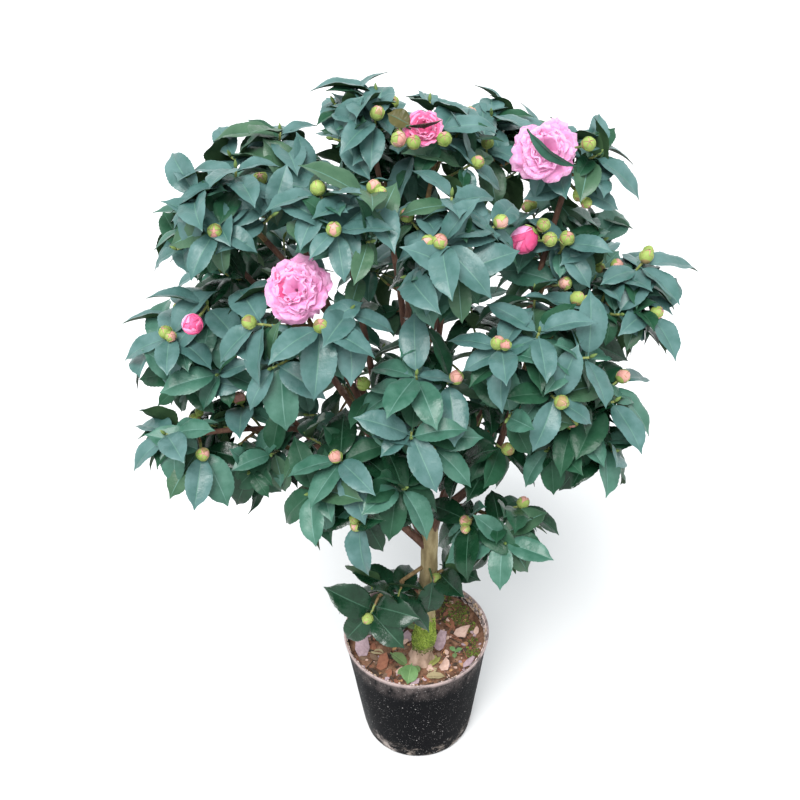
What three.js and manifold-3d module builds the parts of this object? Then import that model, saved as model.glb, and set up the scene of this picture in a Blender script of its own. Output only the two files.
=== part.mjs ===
// A camellia shrub growing in a round nursery pot, in millimetres, +Z up.
// The origin is the centre of the pot's underside, and -Y is the plant's front.
import * as THREE from "three";
import { mergeVertices } from "three/addons/utils/BufferGeometryUtils.js";
import Module from "manifold-3d";

const wasm = await Module();
wasm.setup();

// The free gap between solids that touch or grow out of one another. At a limb's two ends
// its grown shape reaches a little less far, so that a stem which starts there stays whole.
const GAP = 0.3;
const END_SHARE = 0.9;

// Points closer than this are one point, and edges shorter than the second are merged
const SAME_POINT = 1e-3;
const SHORT_EDGE = 0.02;

// Pot: a plain tapered container with a narrow lip and drainage holes
const POT_HEIGHT = 210;
const POT_RIM_RADIUS = 115;
const POT_BASE_RADIUS = 87.5;
const POT_WALL = 2;
const POT_FOOT_ROUNDING = 8;
const POT_LIP_HEIGHT = 8;
const POT_LIP_DEPTH = 1.5;
const POT_SEGMENTS = 32;
const DRAIN_HOLES = 4;
const DRAIN_RADIUS = 6;
const DRAIN_CIRCLE = 60;
const DRAIN_SIDES = 8;

// Soil: the root ball that fills the pot to a little below its rim
const SOIL_LEVEL = 186;
const SOIL_SWELL = 4;
const SOIL_SWELLS = 3;
const TRUNK_SEAT_RADIUS = 70;

// Trunk: places up its middle line, each with its radius
const TRUNK_KNOTS = [
  { at: [6, -40, SOIL_LEVEL + GAP], radius: 20.5 },
  { at: [7, -40, 200], radius: 16.5 },
  { at: [9, -40, 216], radius: 16 },
  { at: [11, -40, 236], radius: 18.5 },
  { at: [13, -40, 256], radius: 15.5 },
  { at: [15, -40, 318], radius: 13.5 },
  { at: [20, -40, 400], radius: 12.5 },
  { at: [22, -38, 476], radius: 11.5 },
];
const TRUNK_SIDES = 12;
const TRUNK_STEPS = 2;
const ROOT_LOBES = 5;
const ROOT_LOBE_DEPTH = 0.14;
const ROOT_FLARE_HEIGHT = 26;

// Limbs: a bough bows up from its parent, most at BOW_PLACE, and tapers to where it enters its
// mass: a share of the mass's reach from its centre, or nearer where a neighbour is in the way
const BOUGH_SIDES = 5;
const BOUGH_STEPS = 3;
const BOUGH_TIP_RADIUS = 3.6;
const BOW_PLACE = 0.45;
const ENTRY_SHARE = 0.6;
const ENTRY_STEP = 5;
const ENTRY_LEAST = 20;
const ENTRY_ROOM = 4;

// Shoots: from the stem of a mass to the rosettes of leaves at their tips
const STEM_SIDES = 5;
const STEM_TIP_RADIUS = 3.2;
const TWIG_SIDES = 3;
const TWIG_RADIUS = 2.4;
const TWIGS_SPREAD = 0.75;
const TWIG_ROOM = 3.4;
const TWIG_BARK_GAP = 1.5;
const TWIG_LOOKS = 8;

// A shoot's tip keeps SHOOT_ROOM free for its leaves, and steps back from a neighbour's space.
// Its rosette faces outwards and up, each turned a little at random.
const SHOOT_ROOM = 62;
const SHOOT_TURN = 0.35;
const SHOOT_SHORTEST = 0.82;
const SHOOT_STEP = 8;
const SHOOT_LEAST = 15;
const SHOOT_MARGIN = 12;
const FACE_OUT = 0.75;
const FACE_UP = 0.5;
const FACE_SWAY = [0.25, 0.25, 0.2];
const SHOOT_SEEDS = { perMass: 977, perShoot: 131, first: 7 };

// Leaves: fewer in each rosette than on the living plant, and a little larger
const LEAF_LENGTH = 80;
const LEAF_WIDTH_SHARE = 0.46;
const LEAF_THICKNESS = 2.4;
const LEAF_THICKEST = 0.3;
const LEAF_WIDEST = 0.42;
const LEAF_BASE_FULLNESS = 0.8;
const LEAF_FOLD = 0.22;
const LEAF_FALL = 0.35;
const LEAF_DRAW_IN = 0.1;
const LEAF_BENDS = [0.3, 0.7];
const LEAF_LENGTHS = [0.78, 1.08];
const LEAF_LOOKS = [0.12, 0.27, 0.42, 0.57, 0.72, 0.86, 1];
const LEAF_BARK_GAP = 5;
const OWN_CROSSING = 8;
const OTHER_CROSSING = 0.01;
const LEAVES_IN_ROSETTE = 7;
const LEAVES_DRAWN = 3;
const LEAF_ENLARGED = 1.25;
const SMALLER_TRIES = [1, 0.84, 0.7];

// The youngest leaf of a rosette stands closest to its shoot's way, in degrees, and each next
// one leans further out and is rooted a step lower. All of them sag a little.
const FIRST_LEAN = 58;
const LEAN_RANGE = 38;
const LEAN_SWAY = 9;
const TURN_SWAY = 0.25;
const LEAF_SAG = 0.18;
const FIRST_ROOT = 2;
const LEAF_SPACING = 3;
const BLADE_FACES = 0.6;
const BLADE_UP = 0.75;
const BLADE_SWAY = 0.3;

// Buds and blossoms
const BUD_RADIUS = 9.5;
const BUD_SEAT = 0.8;
const BUD_SHARE = 0.22;
const BLOOM_SIDES = 10;
const BLOOM_RINGS = 5;
const BLOOM_WIDTH = 0.9;
const BLOOM_DEPTH = 0.75;
const BLOOM_RUFFLE = 0.1;
const BLOOM_SEAT = 0.3;
const BLOOM_BACK = 0.75;
const BLOOM_OUTLOOK = 160;

// The point inside the crown that the masses of foliage face away from
const CROWN_HEART = [8, 0, 700];

// Masses of foliage: centre and reach of each one's space, its shoots, how far round its outward
// way they spread in degrees, its seed, and the limb that it grows from: a share along the parent,
// how much the bough bows up, and its radius where it leaves. The low sprays grow from the trunk.
const MASSES = [
  { name: "right_low", centre: [200, -130, 740], reach: 131, shoots: 8, spread: 115, seed: 247,
    from: "trunk", at: 1, bow: 0.03, thick: 8 },
  { name: "heart", centre: [5, -130, 775], reach: 141, shoots: 7, spread: 95, seed: 247,
    from: "trunk", at: 0.97, bow: 0.04, thick: 7 },
  { name: "back_top", centre: [-30, 130, 950], reach: 142, shoots: 7, spread: 110, seed: 923,
    from: "trunk", at: 0.98, bow: 0.02, thick: 8 },
  { name: "left_mid", centre: [-120, -135, 885], reach: 134, shoots: 7, spread: 95, seed: 839,
    from: "trunk", at: 0.95, bow: 0.08, thick: 7.5 },
  { name: "left_low", centre: [-215, -55, 665], reach: 130, shoots: 8, spread: 110, seed: 843,
    from: "trunk", at: 0.9, bow: 0.1, thick: 7 },
  { name: "right_centre_low", centre: [85, -75, 670], reach: 127, shoots: 6, spread: 100, seed: 572,
    from: "trunk", at: 0.93, bow: 0.1, thick: 5 },
  { name: "back_low_left", centre: [-95, 125, 595], reach: 149, shoots: 6, spread: 110, seed: 9,
    from: "trunk", at: 0.88, bow: 0.08, thick: 6 },
  { name: "back_low_right", centre: [115, 120, 660], reach: 146, shoots: 6, spread: 110, seed: 482,
    from: "trunk", at: 0.91, bow: 0.08, thick: 6.5 },
  { name: "mid_low", centre: [-70, -140, 670], reach: 146, shoots: 8, spread: 105, seed: 900,
    from: "heart", at: 0.3, bow: 0.02, thick: 4.5 },
  { name: "right_mid", centre: [140, -140, 825], reach: 147, shoots: 8, spread: 95, seed: 750,
    from: "right_low", at: 0.55, bow: 0.05, thick: 5.5 },
  { name: "right_low_spray", centre: [105, -125, 560], reach: 104, shoots: 4, spread: 120, seed: 276,
    from: "right_low", at: 0.15, bow: 0.1, thick: 4 },
  { name: "middle_right", centre: [45, -100, 960], reach: 128, shoots: 7, spread: 100, seed: 785,
    from: "heart", at: 0.55, bow: 0.04, thick: 5 },
  { name: "middle", centre: [-75, -115, 995], reach: 116, shoots: 6, spread: 100, seed: 790,
    from: "left_mid", at: 0.5, bow: 0.06, thick: 5 },
  { name: "right_upper", centre: [180, -15, 895], reach: 135, shoots: 7, spread: 105, seed: 878,
    from: "right_low", at: 0.4, bow: 0.06, thick: 5.5 },
  { name: "right_outer", centre: [250, -50, 855], reach: 125, shoots: 6, spread: 110, seed: 166,
    from: "right_low", at: 0.75, bow: 0.06, thick: 4.5 },
  { name: "top_right", centre: [115, 135, 960], reach: 133, shoots: 6, spread: 105, seed: 477,
    from: "back_top", at: 0.45, bow: 0.04, thick: 5 },
  { name: "top_right_tip", centre: [190, -30, 1020], reach: 103, shoots: 6, spread: 110, seed: 933,
    from: "right_upper", at: 0.6, bow: 0.05, thick: 4 },
  { name: "top_mid", centre: [35, 40, 1005], reach: 131, shoots: 6, spread: 100, seed: 507,
    from: "back_top", at: 0.65, bow: 0.05, thick: 4.5 },
  { name: "top_left_mid", centre: [-45, 45, 1035], reach: 119, shoots: 7, spread: 105, seed: 628,
    from: "back_top", at: 0.8, bow: 0.08, thick: 4 },
  { name: "top_left", centre: [-165, 40, 975], reach: 137, shoots: 7, spread: 105, seed: 398,
    from: "left_mid", at: 0.6, bow: 0.06, thick: 5 },
  { name: "top_left_outer", centre: [-205, -50, 990], reach: 122, shoots: 7, spread: 115, seed: 125,
    from: "top_left", at: 0.5, bow: 0.05, thick: 4 },
  { name: "left_outer", centre: [-260, -25, 785], reach: 141, shoots: 8, spread: 115, seed: 555,
    from: "left_low", at: 0.5, bow: 0.05, thick: 4.5 },
  { name: "left_low_spray", centre: [-280, -120, 710], reach: 107, shoots: 3, spread: 105, seed: 82,
    from: "left_outer", at: 0.5, bow: 0.05, thick: 4 },
  { name: "back_left", centre: [-205, 160, 775], reach: 140, shoots: 7, spread: 110, seed: 75,
    from: "back_low_left", at: 0.5, bow: 0.06, thick: 5 },
  { name: "left_upper", centre: [-245, 15, 910], reach: 116, shoots: 6, spread: 110, seed: 200,
    from: "back_left", at: 0.5, bow: 0.06, thick: 4.5 },
  { name: "back_right", centre: [205, 115, 745], reach: 145, shoots: 7, spread: 110, seed: 352,
    from: "back_low_right", at: 0.5, bow: 0.06, thick: 5 },
  { name: "back_mid", centre: [-5, 205, 740], reach: 138, shoots: 7, spread: 110, seed: 765,
    from: "back_top", at: 0.3, bow: 0.04, thick: 5 },
  { name: "pot_spray_left", centre: [-55, -80, 370], reach: 94, shoots: 3, spread: 110, seed: 892,
    from: "trunk", at: 0.85, bow: 0, thick: 3.5, onTrunk: true },
  { name: "pot_spray_right", centre: [40, -45, 385], reach: 72, shoots: 3, spread: 80, seed: 324,
    from: "trunk", at: 0.8, bow: 0, thick: 3.5, onTrunk: true },
];

// Blossoms: the mass each one grows in, its middle, radius and the way that it faces
const BLOOMS = [
  { mass: "left_mid", middle: [-130, -150, 936], radius: 39, outlook: [-0.15, -0.8, 0.58] },
  { mass: "top_right_tip", middle: [153, -70, 1061], radius: 38, outlook: [-0.05, -0.85, 0.52] },
  { mass: "top_mid", middle: [19, -20, 1069], radius: 24, outlook: [0, -0.75, 0.66] },
  { mass: "right_upper", middle: [135, -60, 942], radius: 16, outlook: [0, -0.85, 0.52] },
  { mass: "left_outer", middle: [-260, -110, 868], radius: 13, outlook: [0.1, -0.85, 0.52] },
];

// Vectors
const UP = new THREE.Vector3(0, 0, 1);
const ACROSS = new THREE.Vector3(1, 0, 0);
const NEARLY_UPRIGHT = 0.05;
const vector = (place) => new THREE.Vector3(...place);
const moved = (point, way, distance) => point.clone().addScaledVector(way, distance);
const between = (a, b, share) => a.clone().lerp(b, share);
const wayTo = (a, b) => b.clone().sub(a).normalize();
const radians = THREE.MathUtils.degToRad;
const GOLDEN_TURN = Math.PI * (3 - Math.sqrt(5));

// A repeatable stream of numbers, each drawn between a low and a high
function draws(seed) {
  let state = seed;
  const draw = (low, high) => {
    state = (1664525 * state + 1013904223) % 4294967296;
    return low + ((high - low) * state) / 4294967296;
  };
  for (let i = 0; i < 3; i++) draw(0, 1);
  return draw;
}

// A level way square to an axis, or any square way when the axis is upright
function sideOf(axis) {
  const side = axis.clone().cross(UP);
  if (side.length() < NEARLY_UPRIGHT) side.crossVectors(axis, ACROSS);
  return side.normalize();
}

// A way that leans from an axis by an angle, turned round it
function leaning(axis, lean, turn) {
  const side = sideOf(axis);
  const other = axis.clone().cross(side);
  const out = side.multiplyScalar(Math.cos(turn)).addScaledVector(other, Math.sin(turn));
  return axis.clone().multiplyScalar(Math.cos(lean)).addScaledVector(out, Math.sin(lean));
}

// The planes that part a mass's space from its neighbours'
function wallsOf(mass, masses) {
  const walls = [];
  for (const other of masses) {
    const apart = mass.centre.distanceTo(other.centre);
    if (other === mass || apart > mass.reach + other.reach) continue;
    const normal = wayTo(mass.centre, other.centre);
    const along = (apart ** 2 + mass.reach ** 2 - other.reach ** 2) / (2 * apart);
    walls.push({ normal, at: normal.dot(mass.centre) + along });
  }
  return walls;
}

// Whether a point lies in a mass's space, a margin clear of its borders
function inside(point, mass, margin) {
  if (point.distanceTo(mass.centre) > mass.reach - margin) return false;
  return mass.walls.every((wall) => wall.normal.dot(point) <= wall.at - margin);
}

// A limb is a row of stations up its middle line, each with a radius
function trunkStations() {
  const knots = TRUNK_KNOTS.map((knot) => ({ at: vector(knot.at), radius: knot.radius }));
  const line = new THREE.CatmullRomCurve3(knots.map((knot) => knot.at), false, "catmullrom");
  const count = (knots.length - 1) * TRUNK_STEPS;
  const stations = [];
  for (let i = 0; i <= count; i++) {
    const low = knots[Math.floor(i / TRUNK_STEPS)];
    const high = knots[Math.ceil(i / TRUNK_STEPS)];
    const share = (i % TRUNK_STEPS) / TRUNK_STEPS;
    const radius = THREE.MathUtils.lerp(low.radius, high.radius, share);
    stations.push({ at: line.getPoint(i / count), radius });
  }
  return stations;
}

// The place on a limb's middle line at a share of its length
function placeOn(stations, share) {
  const step = share * (stations.length - 1);
  const low = Math.min(Math.floor(step), stations.length - 2);
  return between(stations[low].at, stations[low + 1].at, step - low);
}

// A bough: it bows up from its parent, turns to the mass's centre and ends where it enters
function boughStations(mass, parent) {
  const start = placeOn(parent, mass.at);
  const span = start.distanceTo(mass.centre);
  const bend = between(start, mass.centre, BOW_PLACE).addScaledVector(UP, mass.bow * span);
  const inward = wayTo(bend, mass.centre);
  const endAt = (depth) => moved(mass.centre, inward, -depth);
  let depth = ENTRY_SHARE * mass.reach;
  while (depth > ENTRY_LEAST && !inside(endAt(depth), mass, ENTRY_ROOM)) depth -= ENTRY_STEP;
  const end = endAt(depth);
  const line = new THREE.QuadraticBezierCurve3(start, bend, end);
  return line.getPoints(BOUGH_STEPS).map((at, i) => ({
    at,
    radius: THREE.MathUtils.lerp(mass.thick, BOUGH_TIP_RADIUS, i / BOUGH_STEPS),
  }));
}

// How clear a point is of a limb's bark
function clearOf(point, stations) {
  let clear = Infinity;
  for (let i = 1; i < stations.length; i++) {
    const segment = new THREE.Line3(stations[i - 1].at, stations[i].at);
    const share = segment.closestPointToPointParameter(point, true);
    const radius = THREE.MathUtils.lerp(stations[i - 1].radius, stations[i].radius, share);
    clear = Math.min(clear, point.distanceTo(segment.at(share, new THREE.Vector3())) - radius);
  }
  return clear;
}

// The shoots of a mass are spread evenly over the side that faces out of the crown
function shootsOf(mass, stem) {
  const outward = wayTo(vector(CROWN_HEART), mass.centre);
  const draw = draws(mass.seed);
  const spin = draw(0, 2 * Math.PI);
  const edge = Math.cos(radians(mass.spread));
  const shoots = [];
  for (let i = 0; i < mass.shoots; i++) {
    const lean = Math.acos(1 - ((i + 0.5) / mass.shoots) * (1 - edge));
    const turn = spin + i * GOLDEN_TURN + draw(-SHOOT_TURN, SHOOT_TURN);
    const way = leaning(outward, lean, turn);
    const tipAt = (far) => moved(mass.centre, way, far);
    let far = (mass.reach - SHOOT_ROOM) * draw(SHOOT_SHORTEST, 1);
    while (far > SHOOT_LEAST && !inside(tipAt(far), mass, SHOOT_MARGIN)) far -= SHOOT_STEP;
    const face = way.clone().multiplyScalar(FACE_OUT).addScaledVector(UP, FACE_UP);
    face.add(vector(FACE_SWAY.map((sway) => draw(-sway, sway))));
    const start = between(stem[0].at, stem[1].at, 1 - (TWIGS_SPREAD * i) / mass.shoots);
    const seed = mass.seed * SHOOT_SEEDS.perMass + i * SHOOT_SEEDS.perShoot + SHOOT_SEEDS.first;
    shoots.push({ start, tip: tipAt(far), face: face.normalize(), seed });
  }
  return shoots;
}

// The leaves of a shoot's rosette, from the youngest at its tip down its twig
function rosetteOf(shoot) {
  const back = wayTo(shoot.tip, shoot.start);
  const draw = draws(shoot.seed);
  const spin = draw(0, 2 * Math.PI);
  const leaves = [];
  for (let i = 0; i < LEAVES_DRAWN; i++) {
    const rank = i / (LEAVES_IN_ROSETTE - 1);
    const lean = radians(FIRST_LEAN + LEAN_RANGE * rank + draw(-LEAN_SWAY, LEAN_SWAY));
    const turn = spin + i * GOLDEN_TURN + draw(-TURN_SWAY, TURN_SWAY);
    const way = leaning(shoot.face, lean, turn).addScaledVector(UP, -LEAF_SAG).normalize();
    const root = moved(shoot.tip, back, FIRST_ROOT + LEAF_SPACING * i);
    const length = LEAF_LENGTH * LEAF_ENLARGED * draw(...LEAF_LENGTHS);
    const normal = shoot.face.clone().multiplyScalar(BLADE_FACES).addScaledVector(UP, BLADE_UP);
    const sway = [draw(-BLADE_SWAY, BLADE_SWAY), draw(-BLADE_SWAY, BLADE_SWAY), 0];
    normal.add(vector(sway));
    normal.addScaledVector(way, -normal.dot(way)).normalize();
    leaves.push({ root, way, normal, length, bend: draw(...LEAF_BENDS) });
  }
  return leaves;
}

// The half width of a leaf at a share of its length, as a share of its widest
const outline = (share) => Math.sin(Math.PI * share ** LEAF_BASE_FULLNESS);

// A place on a leaf's blade: a share along it, and across from -1 to 1 between its edges
function onLeaf(leaf, along, across) {
  const side = leaf.normal.clone().cross(leaf.way);
  const half = (outline(along) * leaf.length * LEAF_WIDTH_SHARE) / 2;
  const drawnIn = 1 - LEAF_DRAW_IN * leaf.bend * along;
  const place = moved(leaf.root, leaf.way, leaf.length * along * drawnIn);
  place.addScaledVector(leaf.normal, -LEAF_FALL * leaf.bend * along ** 2 * leaf.length);
  place.addScaledVector(side, across * half);
  return place.addScaledVector(leaf.normal, LEAF_FOLD * Math.abs(across) * half);
}

// Places along a leaf's two edges and its midrib, where its room is looked at
function placesOn(leaf) {
  return LEAF_LOOKS.flatMap((along) => [-1, 0, 1].map((across) => onLeaf(leaf, along, across)));
}

// Whether a place lies in a blossom or in its outlook, where leaves would hide it
function hidesBloom(place) {
  return BLOOMS.some((bloom) => {
    const away = place.clone().sub(bloom.middle);
    const ahead = away.dot(bloom.outlook);
    const beside = Math.sqrt(Math.max(0, away.lengthSq() - ahead ** 2));
    const level = ahead > -BLOOM_BACK * bloom.radius && ahead < BLOOM_OUTLOOK;
    return level && beside < bloom.radius;
  });
}

// Whether all places keep to the mass's space and clear of the limbs and blossoms
function fits(places, mass, margin, barkGap) {
  return places.every(
    (place) =>
      inside(place, mass, margin) &&
      !hidesBloom(place) &&
      limbs.every((limb) => clearOf(place, limb.stations) > barkGap),
  );
}

// The leaf as it is or a little smaller, or nothing where it finds no room
function fitted(leaf, mass) {
  for (const share of SMALLER_TRIES) {
    const smaller = { ...leaf, length: leaf.length * share };
    if (fits(placesOn(smaller), mass, LEAF_THICKNESS, LEAF_BARK_GAP)) return smaller;
  }
  return null;
}

// A closed geometry as a solid that can be joined and cut
function solidOf(geometry) {
  const bare = new THREE.BufferGeometry();
  bare.setAttribute("position", geometry.getAttribute("position").clone());
  if (geometry.index) bare.setIndex(geometry.index.clone());
  const merged = mergeVertices(bare, SAME_POINT);
  return new wasm.Manifold(
    new wasm.Mesh({
      numProp: 3,
      vertProperties: Float32Array.from(merged.getAttribute("position").array),
      triVerts: Uint32Array.from(merged.index.array),
    }),
  );
}

function solidFrom(points, faces) {
  const geometry = new THREE.BufferGeometry().setFromPoints(points);
  geometry.setIndex(faces.flat());
  return solidOf(geometry);
}

function geometryOf(solid) {
  const mesh = solid.getMesh();
  const geometry = new THREE.BufferGeometry();
  geometry.setAttribute("position", new THREE.BufferAttribute(mesh.vertProperties, 3));
  geometry.setIndex(new THREE.BufferAttribute(mesh.triVerts, 1));
  geometry.computeVertexNormals();
  return geometry;
}

// The biggest body of a solid, with edges too short to matter merged
function mainBody(solid) {
  const bodies = solid.simplify(SHORT_EDGE).decompose();
  return bodies.reduce((big, body) => (body.volume() > big.volume() ? body : big));
}

// Faces between rings that all have the same number of points, with both ends closed
function ringFaces(rings, sides) {
  const faces = [];
  for (let ring = 0; ring < rings - 1; ring++)
    for (let i = 0; i < sides; i++) {
      const next = (i + 1) % sides;
      const low = ring * sides;
      const high = low + sides;
      faces.push([low + i, low + next, high + next], [low + i, high + next, high + i]);
    }
  const last = (rings - 1) * sides;
  for (let i = 1; i < sides - 1; i++)
    faces.push([0, i + 1, i], [last, last + i, last + i + 1]);
  return faces;
}

// A tapering limb or twig along its stations, grown all round by some millimetres
function limbSolid(stations, sides, grown = 0) {
  const points = [];
  let side = null;
  stations.forEach((station, i) => {
    const before = stations[Math.max(0, i - 1)].at;
    const after = stations[Math.min(stations.length - 1, i + 1)].at;
    const way = wayTo(before, after);
    side = side ? side.addScaledVector(way, -side.dot(way)).normalize() : sideOf(way);
    const other = way.clone().cross(side);
    const end = i === 0 ? -END_SHARE : i === stations.length - 1 ? END_SHARE : 0;
    for (let k = 0; k < sides; k++) {
      const turn = (2 * Math.PI * k) / sides;
      const across = side.clone().multiplyScalar(Math.cos(turn));
      const out = across.addScaledVector(other, Math.sin(turn));
      points.push(moved(moved(station.at, out, station.radius + grown), way, end * grown));
    }
  });
  return solidFrom(points, ringFaces(stations.length, sides));
}

// The trunk: level rings, the lowest ones lobed where the roots flare out
function trunkSolid(stations, grown = 0) {
  const points = [];
  stations.forEach((station, i) => {
    const rise = station.at.z - stations[0].at.z;
    const lobes = ROOT_LOBE_DEPTH * Math.max(0, 1 - rise / ROOT_FLARE_HEIGHT);
    for (let k = 0; k < TRUNK_SIDES; k++) {
      const turn = (2 * Math.PI * k) / TRUNK_SIDES;
      const radius = (station.radius + grown) * (1 + lobes * Math.cos(ROOT_LOBES * turn));
      const atTop = i === stations.length - 1 ? grown : 0;
      const out = new THREE.Vector3(Math.cos(turn) * radius, Math.sin(turn) * radius, atTop);
      points.push(station.at.clone().add(out));
    }
  });
  return solidFrom(points, ringFaces(stations.length, TRUNK_SIDES));
}

// A leaf: a thin folded blade of eight faces, its root sunk into the twig
function leafSolid(leaf) {
  const half = LEAF_THICKNESS / 2;
  const points = [
    leaf.root,
    onLeaf(leaf, LEAF_WIDEST, -1),
    onLeaf(leaf, 1, 0),
    onLeaf(leaf, LEAF_WIDEST, 1),
    moved(onLeaf(leaf, LEAF_THICKEST, 0), leaf.normal, half),
    moved(onLeaf(leaf, LEAF_THICKEST, 0), leaf.normal, -half),
  ];
  const [root, right, tip, left, top, under] = points.keys();
  const faces = [];
  [root, right, tip, left].forEach((corner, i, edge) => {
    const next = edge[(i + 1) % edge.length];
    faces.push([top, corner, next], [under, next, corner]);
  });
  return solidFrom(points, faces);
}

// A round bud on the tip of its shoot
function budSolid(shoot) {
  const middle = moved(shoot.tip, shoot.face, BUD_RADIUS * BUD_SEAT);
  const geometry = new THREE.OctahedronGeometry(BUD_RADIUS);
  geometry.applyQuaternion(new THREE.Quaternion().setFromUnitVectors(UP, shoot.face));
  return solidOf(geometry.translate(middle.x, middle.y, middle.z));
}

// A blossom: a dome whose petals ruffle its edge, on a stalk from the mass's centre
function bloomSolids(bloom, mass) {
  const geometry = new THREE.SphereGeometry(bloom.radius, BLOOM_SIDES, BLOOM_RINGS);
  geometry.rotateX(Math.PI / 2);
  const position = geometry.getAttribute("position");
  for (let i = 0; i < position.count; i++) {
    const place = new THREE.Vector3().fromBufferAttribute(position, i);
    const rim = Math.hypot(place.x, place.y) / bloom.radius;
    const turn = Math.atan2(place.y, place.x);
    const ruffle = 1 + BLOOM_RUFFLE * rim * Math.cos((BLOOM_SIDES / 2) * turn);
    const width = BLOOM_WIDTH * ruffle;
    place.multiply(new THREE.Vector3(width, width, BLOOM_DEPTH));
    position.setXYZ(i, place.x, place.y, place.z);
  }
  geometry.applyQuaternion(new THREE.Quaternion().setFromUnitVectors(UP, bloom.outlook));
  geometry.translate(bloom.middle.x, bloom.middle.y, bloom.middle.z);
  const stalk = [
    { at: mass.centre, radius: TWIG_RADIUS },
    { at: moved(bloom.middle, bloom.outlook, -BLOOM_SEAT * bloom.radius), radius: TWIG_RADIUS },
  ];
  return [solidOf(geometry), limbSolid(stalk, TWIG_SIDES)];
}

// The stem goes on from the bough's tip to the centre of its mass
function stemOf(mass) {
  const stations = mass.limb.stations;
  const tip = stations.at(-1);
  const inward = wayTo(tip.at, mass.centre);
  const start = mass.onTrunk ? placeOn(stations, mass.at) : moved(tip.at, inward, GAP);
  return [
    { at: start, radius: mass.onTrunk ? mass.thick : BOUGH_TIP_RADIUS },
    { at: mass.centre.clone(), radius: STEM_TIP_RADIUS },
  ];
}

// A twig: from the stem to the tip of its shoot
function twigOf(shoot) {
  return [shoot.start, shoot.tip].map((at) => ({ at, radius: TWIG_RADIUS }));
}

// Whether a twig, looked at in short steps, has room in its mass's space
function twigFits(twig, mass) {
  const places = [];
  for (let i = 1; i <= TWIG_LOOKS; i++) places.push(placeOn(twig, i / TWIG_LOOKS));
  return fits(places, mass, TWIG_ROOM, TWIG_BARK_GAP);
}

// Whether a leaf's solid would cut deep through a piece that is there already
function crosses(solid, seed, pieces) {
  return pieces.some((piece) => {
    if (piece.twig && piece.seed === seed) return false;
    const allowed = piece.seed === seed ? OWN_CROSSING : OTHER_CROSSING;
    return solid.intersect(piece.solid).volume() > allowed;
  });
}

// One mass: its stem, and the twigs, blossoms, buds and leaves that find room on it
function massSolid(mass) {
  const stem = stemOf(mass);
  const pieces = [{ solid: limbSolid(stem, STEM_SIDES) }];
  for (const bloom of BLOOMS)
    if (bloom.mass === mass.name)
      for (const solid of bloomSolids(bloom, mass)) pieces.push({ solid });
  const shoots = shootsOf(mass, stem).filter((shoot) => twigFits(twigOf(shoot), mass));
  for (const { seed, ...shoot } of shoots) {
    pieces.push({ solid: limbSolid(twigOf(shoot), TWIG_SIDES), seed, twig: true });
    if (draws(seed + 1)(0, 1) < BUD_SHARE) pieces.push({ solid: budSolid(shoot), seed });
  }
  for (let rank = 0; rank < LEAVES_DRAWN; rank++)
    for (const shoot of shoots) {
      const leaf = fitted(rosetteOf(shoot)[rank], mass);
      const solid = leaf && leafSolid(leaf);
      if (leaf && !crosses(solid, shoot.seed, pieces)) pieces.push({ solid, seed: shoot.seed });
    }
  const whole = wasm.Manifold.union(pieces.map((piece) => piece.solid));
  return mainBody(cutByLimbs(whole));
}

// Limbs cut their grown shape out of what comes after them
function cutByLimbs(solid) {
  return limbs.reduce((rest, limb) => rest.subtract(limb.grown), solid);
}

// The radius of the pot's wall at a height, a distance in from its outside
function potRadius(height, inward = 0) {
  const rise = (POT_RIM_RADIUS - POT_LIP_DEPTH - POT_BASE_RADIUS) / POT_HEIGHT;
  return POT_BASE_RADIUS + rise * height - inward;
}

// The edge of a round dish from its floor up, a distance in from the pot's outside
function dishOutline(inward, top) {
  const rounding = POT_FOOT_ROUNDING - inward;
  const low = new THREE.EllipseCurve(
    POT_BASE_RADIUS - POT_FOOT_ROUNDING, POT_FOOT_ROUNDING,
    rounding, rounding, -Math.PI / 2, 0,
  );
  const foot = new THREE.Vector2(0, inward);
  return [foot, ...low.getPoints(2), new THREE.Vector2(potRadius(top, inward), top)];
}

function lathe(profile) {
  return new THREE.LatheGeometry(profile, POT_SEGMENTS).rotateX(Math.PI / 2);
}

function potGeometry() {
  const lipFoot = POT_HEIGHT - POT_LIP_HEIGHT;
  const lip = [
    new THREE.Vector2(potRadius(lipFoot) + POT_LIP_DEPTH, lipFoot + POT_LIP_DEPTH),
    new THREE.Vector2(POT_RIM_RADIUS, POT_HEIGHT - POT_WALL / 2),
    new THREE.Vector2(POT_RIM_RADIUS - POT_WALL / 2, POT_HEIGHT),
  ];
  const within = dishOutline(POT_WALL, POT_HEIGHT).reverse();
  let pot = solidOf(lathe([...dishOutline(0, lipFoot), ...lip, ...within]));
  for (let i = 0; i < DRAIN_HOLES; i++) {
    const turn = ((i + 0.5) * 2 * Math.PI) / DRAIN_HOLES;
    const depth = 6 * POT_WALL;
    const hole = new THREE.CylinderGeometry(DRAIN_RADIUS, DRAIN_RADIUS, depth, DRAIN_SIDES);
    hole.rotateX(Math.PI / 2);
    hole.translate(DRAIN_CIRCLE * Math.cos(turn), DRAIN_CIRCLE * Math.sin(turn), 0);
    pot = pot.subtract(solidOf(hole));
  }
  return geometryOf(pot);
}

// How far the soil's top swells at a place; it is level under the trunk and at the wall
function soilSwell(radius, turn) {
  const edge = potRadius(SOIL_LEVEL, POT_WALL + GAP);
  const share = (radius - TRUNK_SEAT_RADIUS) / (edge - TRUNK_SEAT_RADIUS);
  if (share <= 0 || share >= 1) return 0;
  return SOIL_SWELL * Math.sin(Math.PI * share) * Math.sin(SOIL_SWELLS * turn + 1);
}

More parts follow.
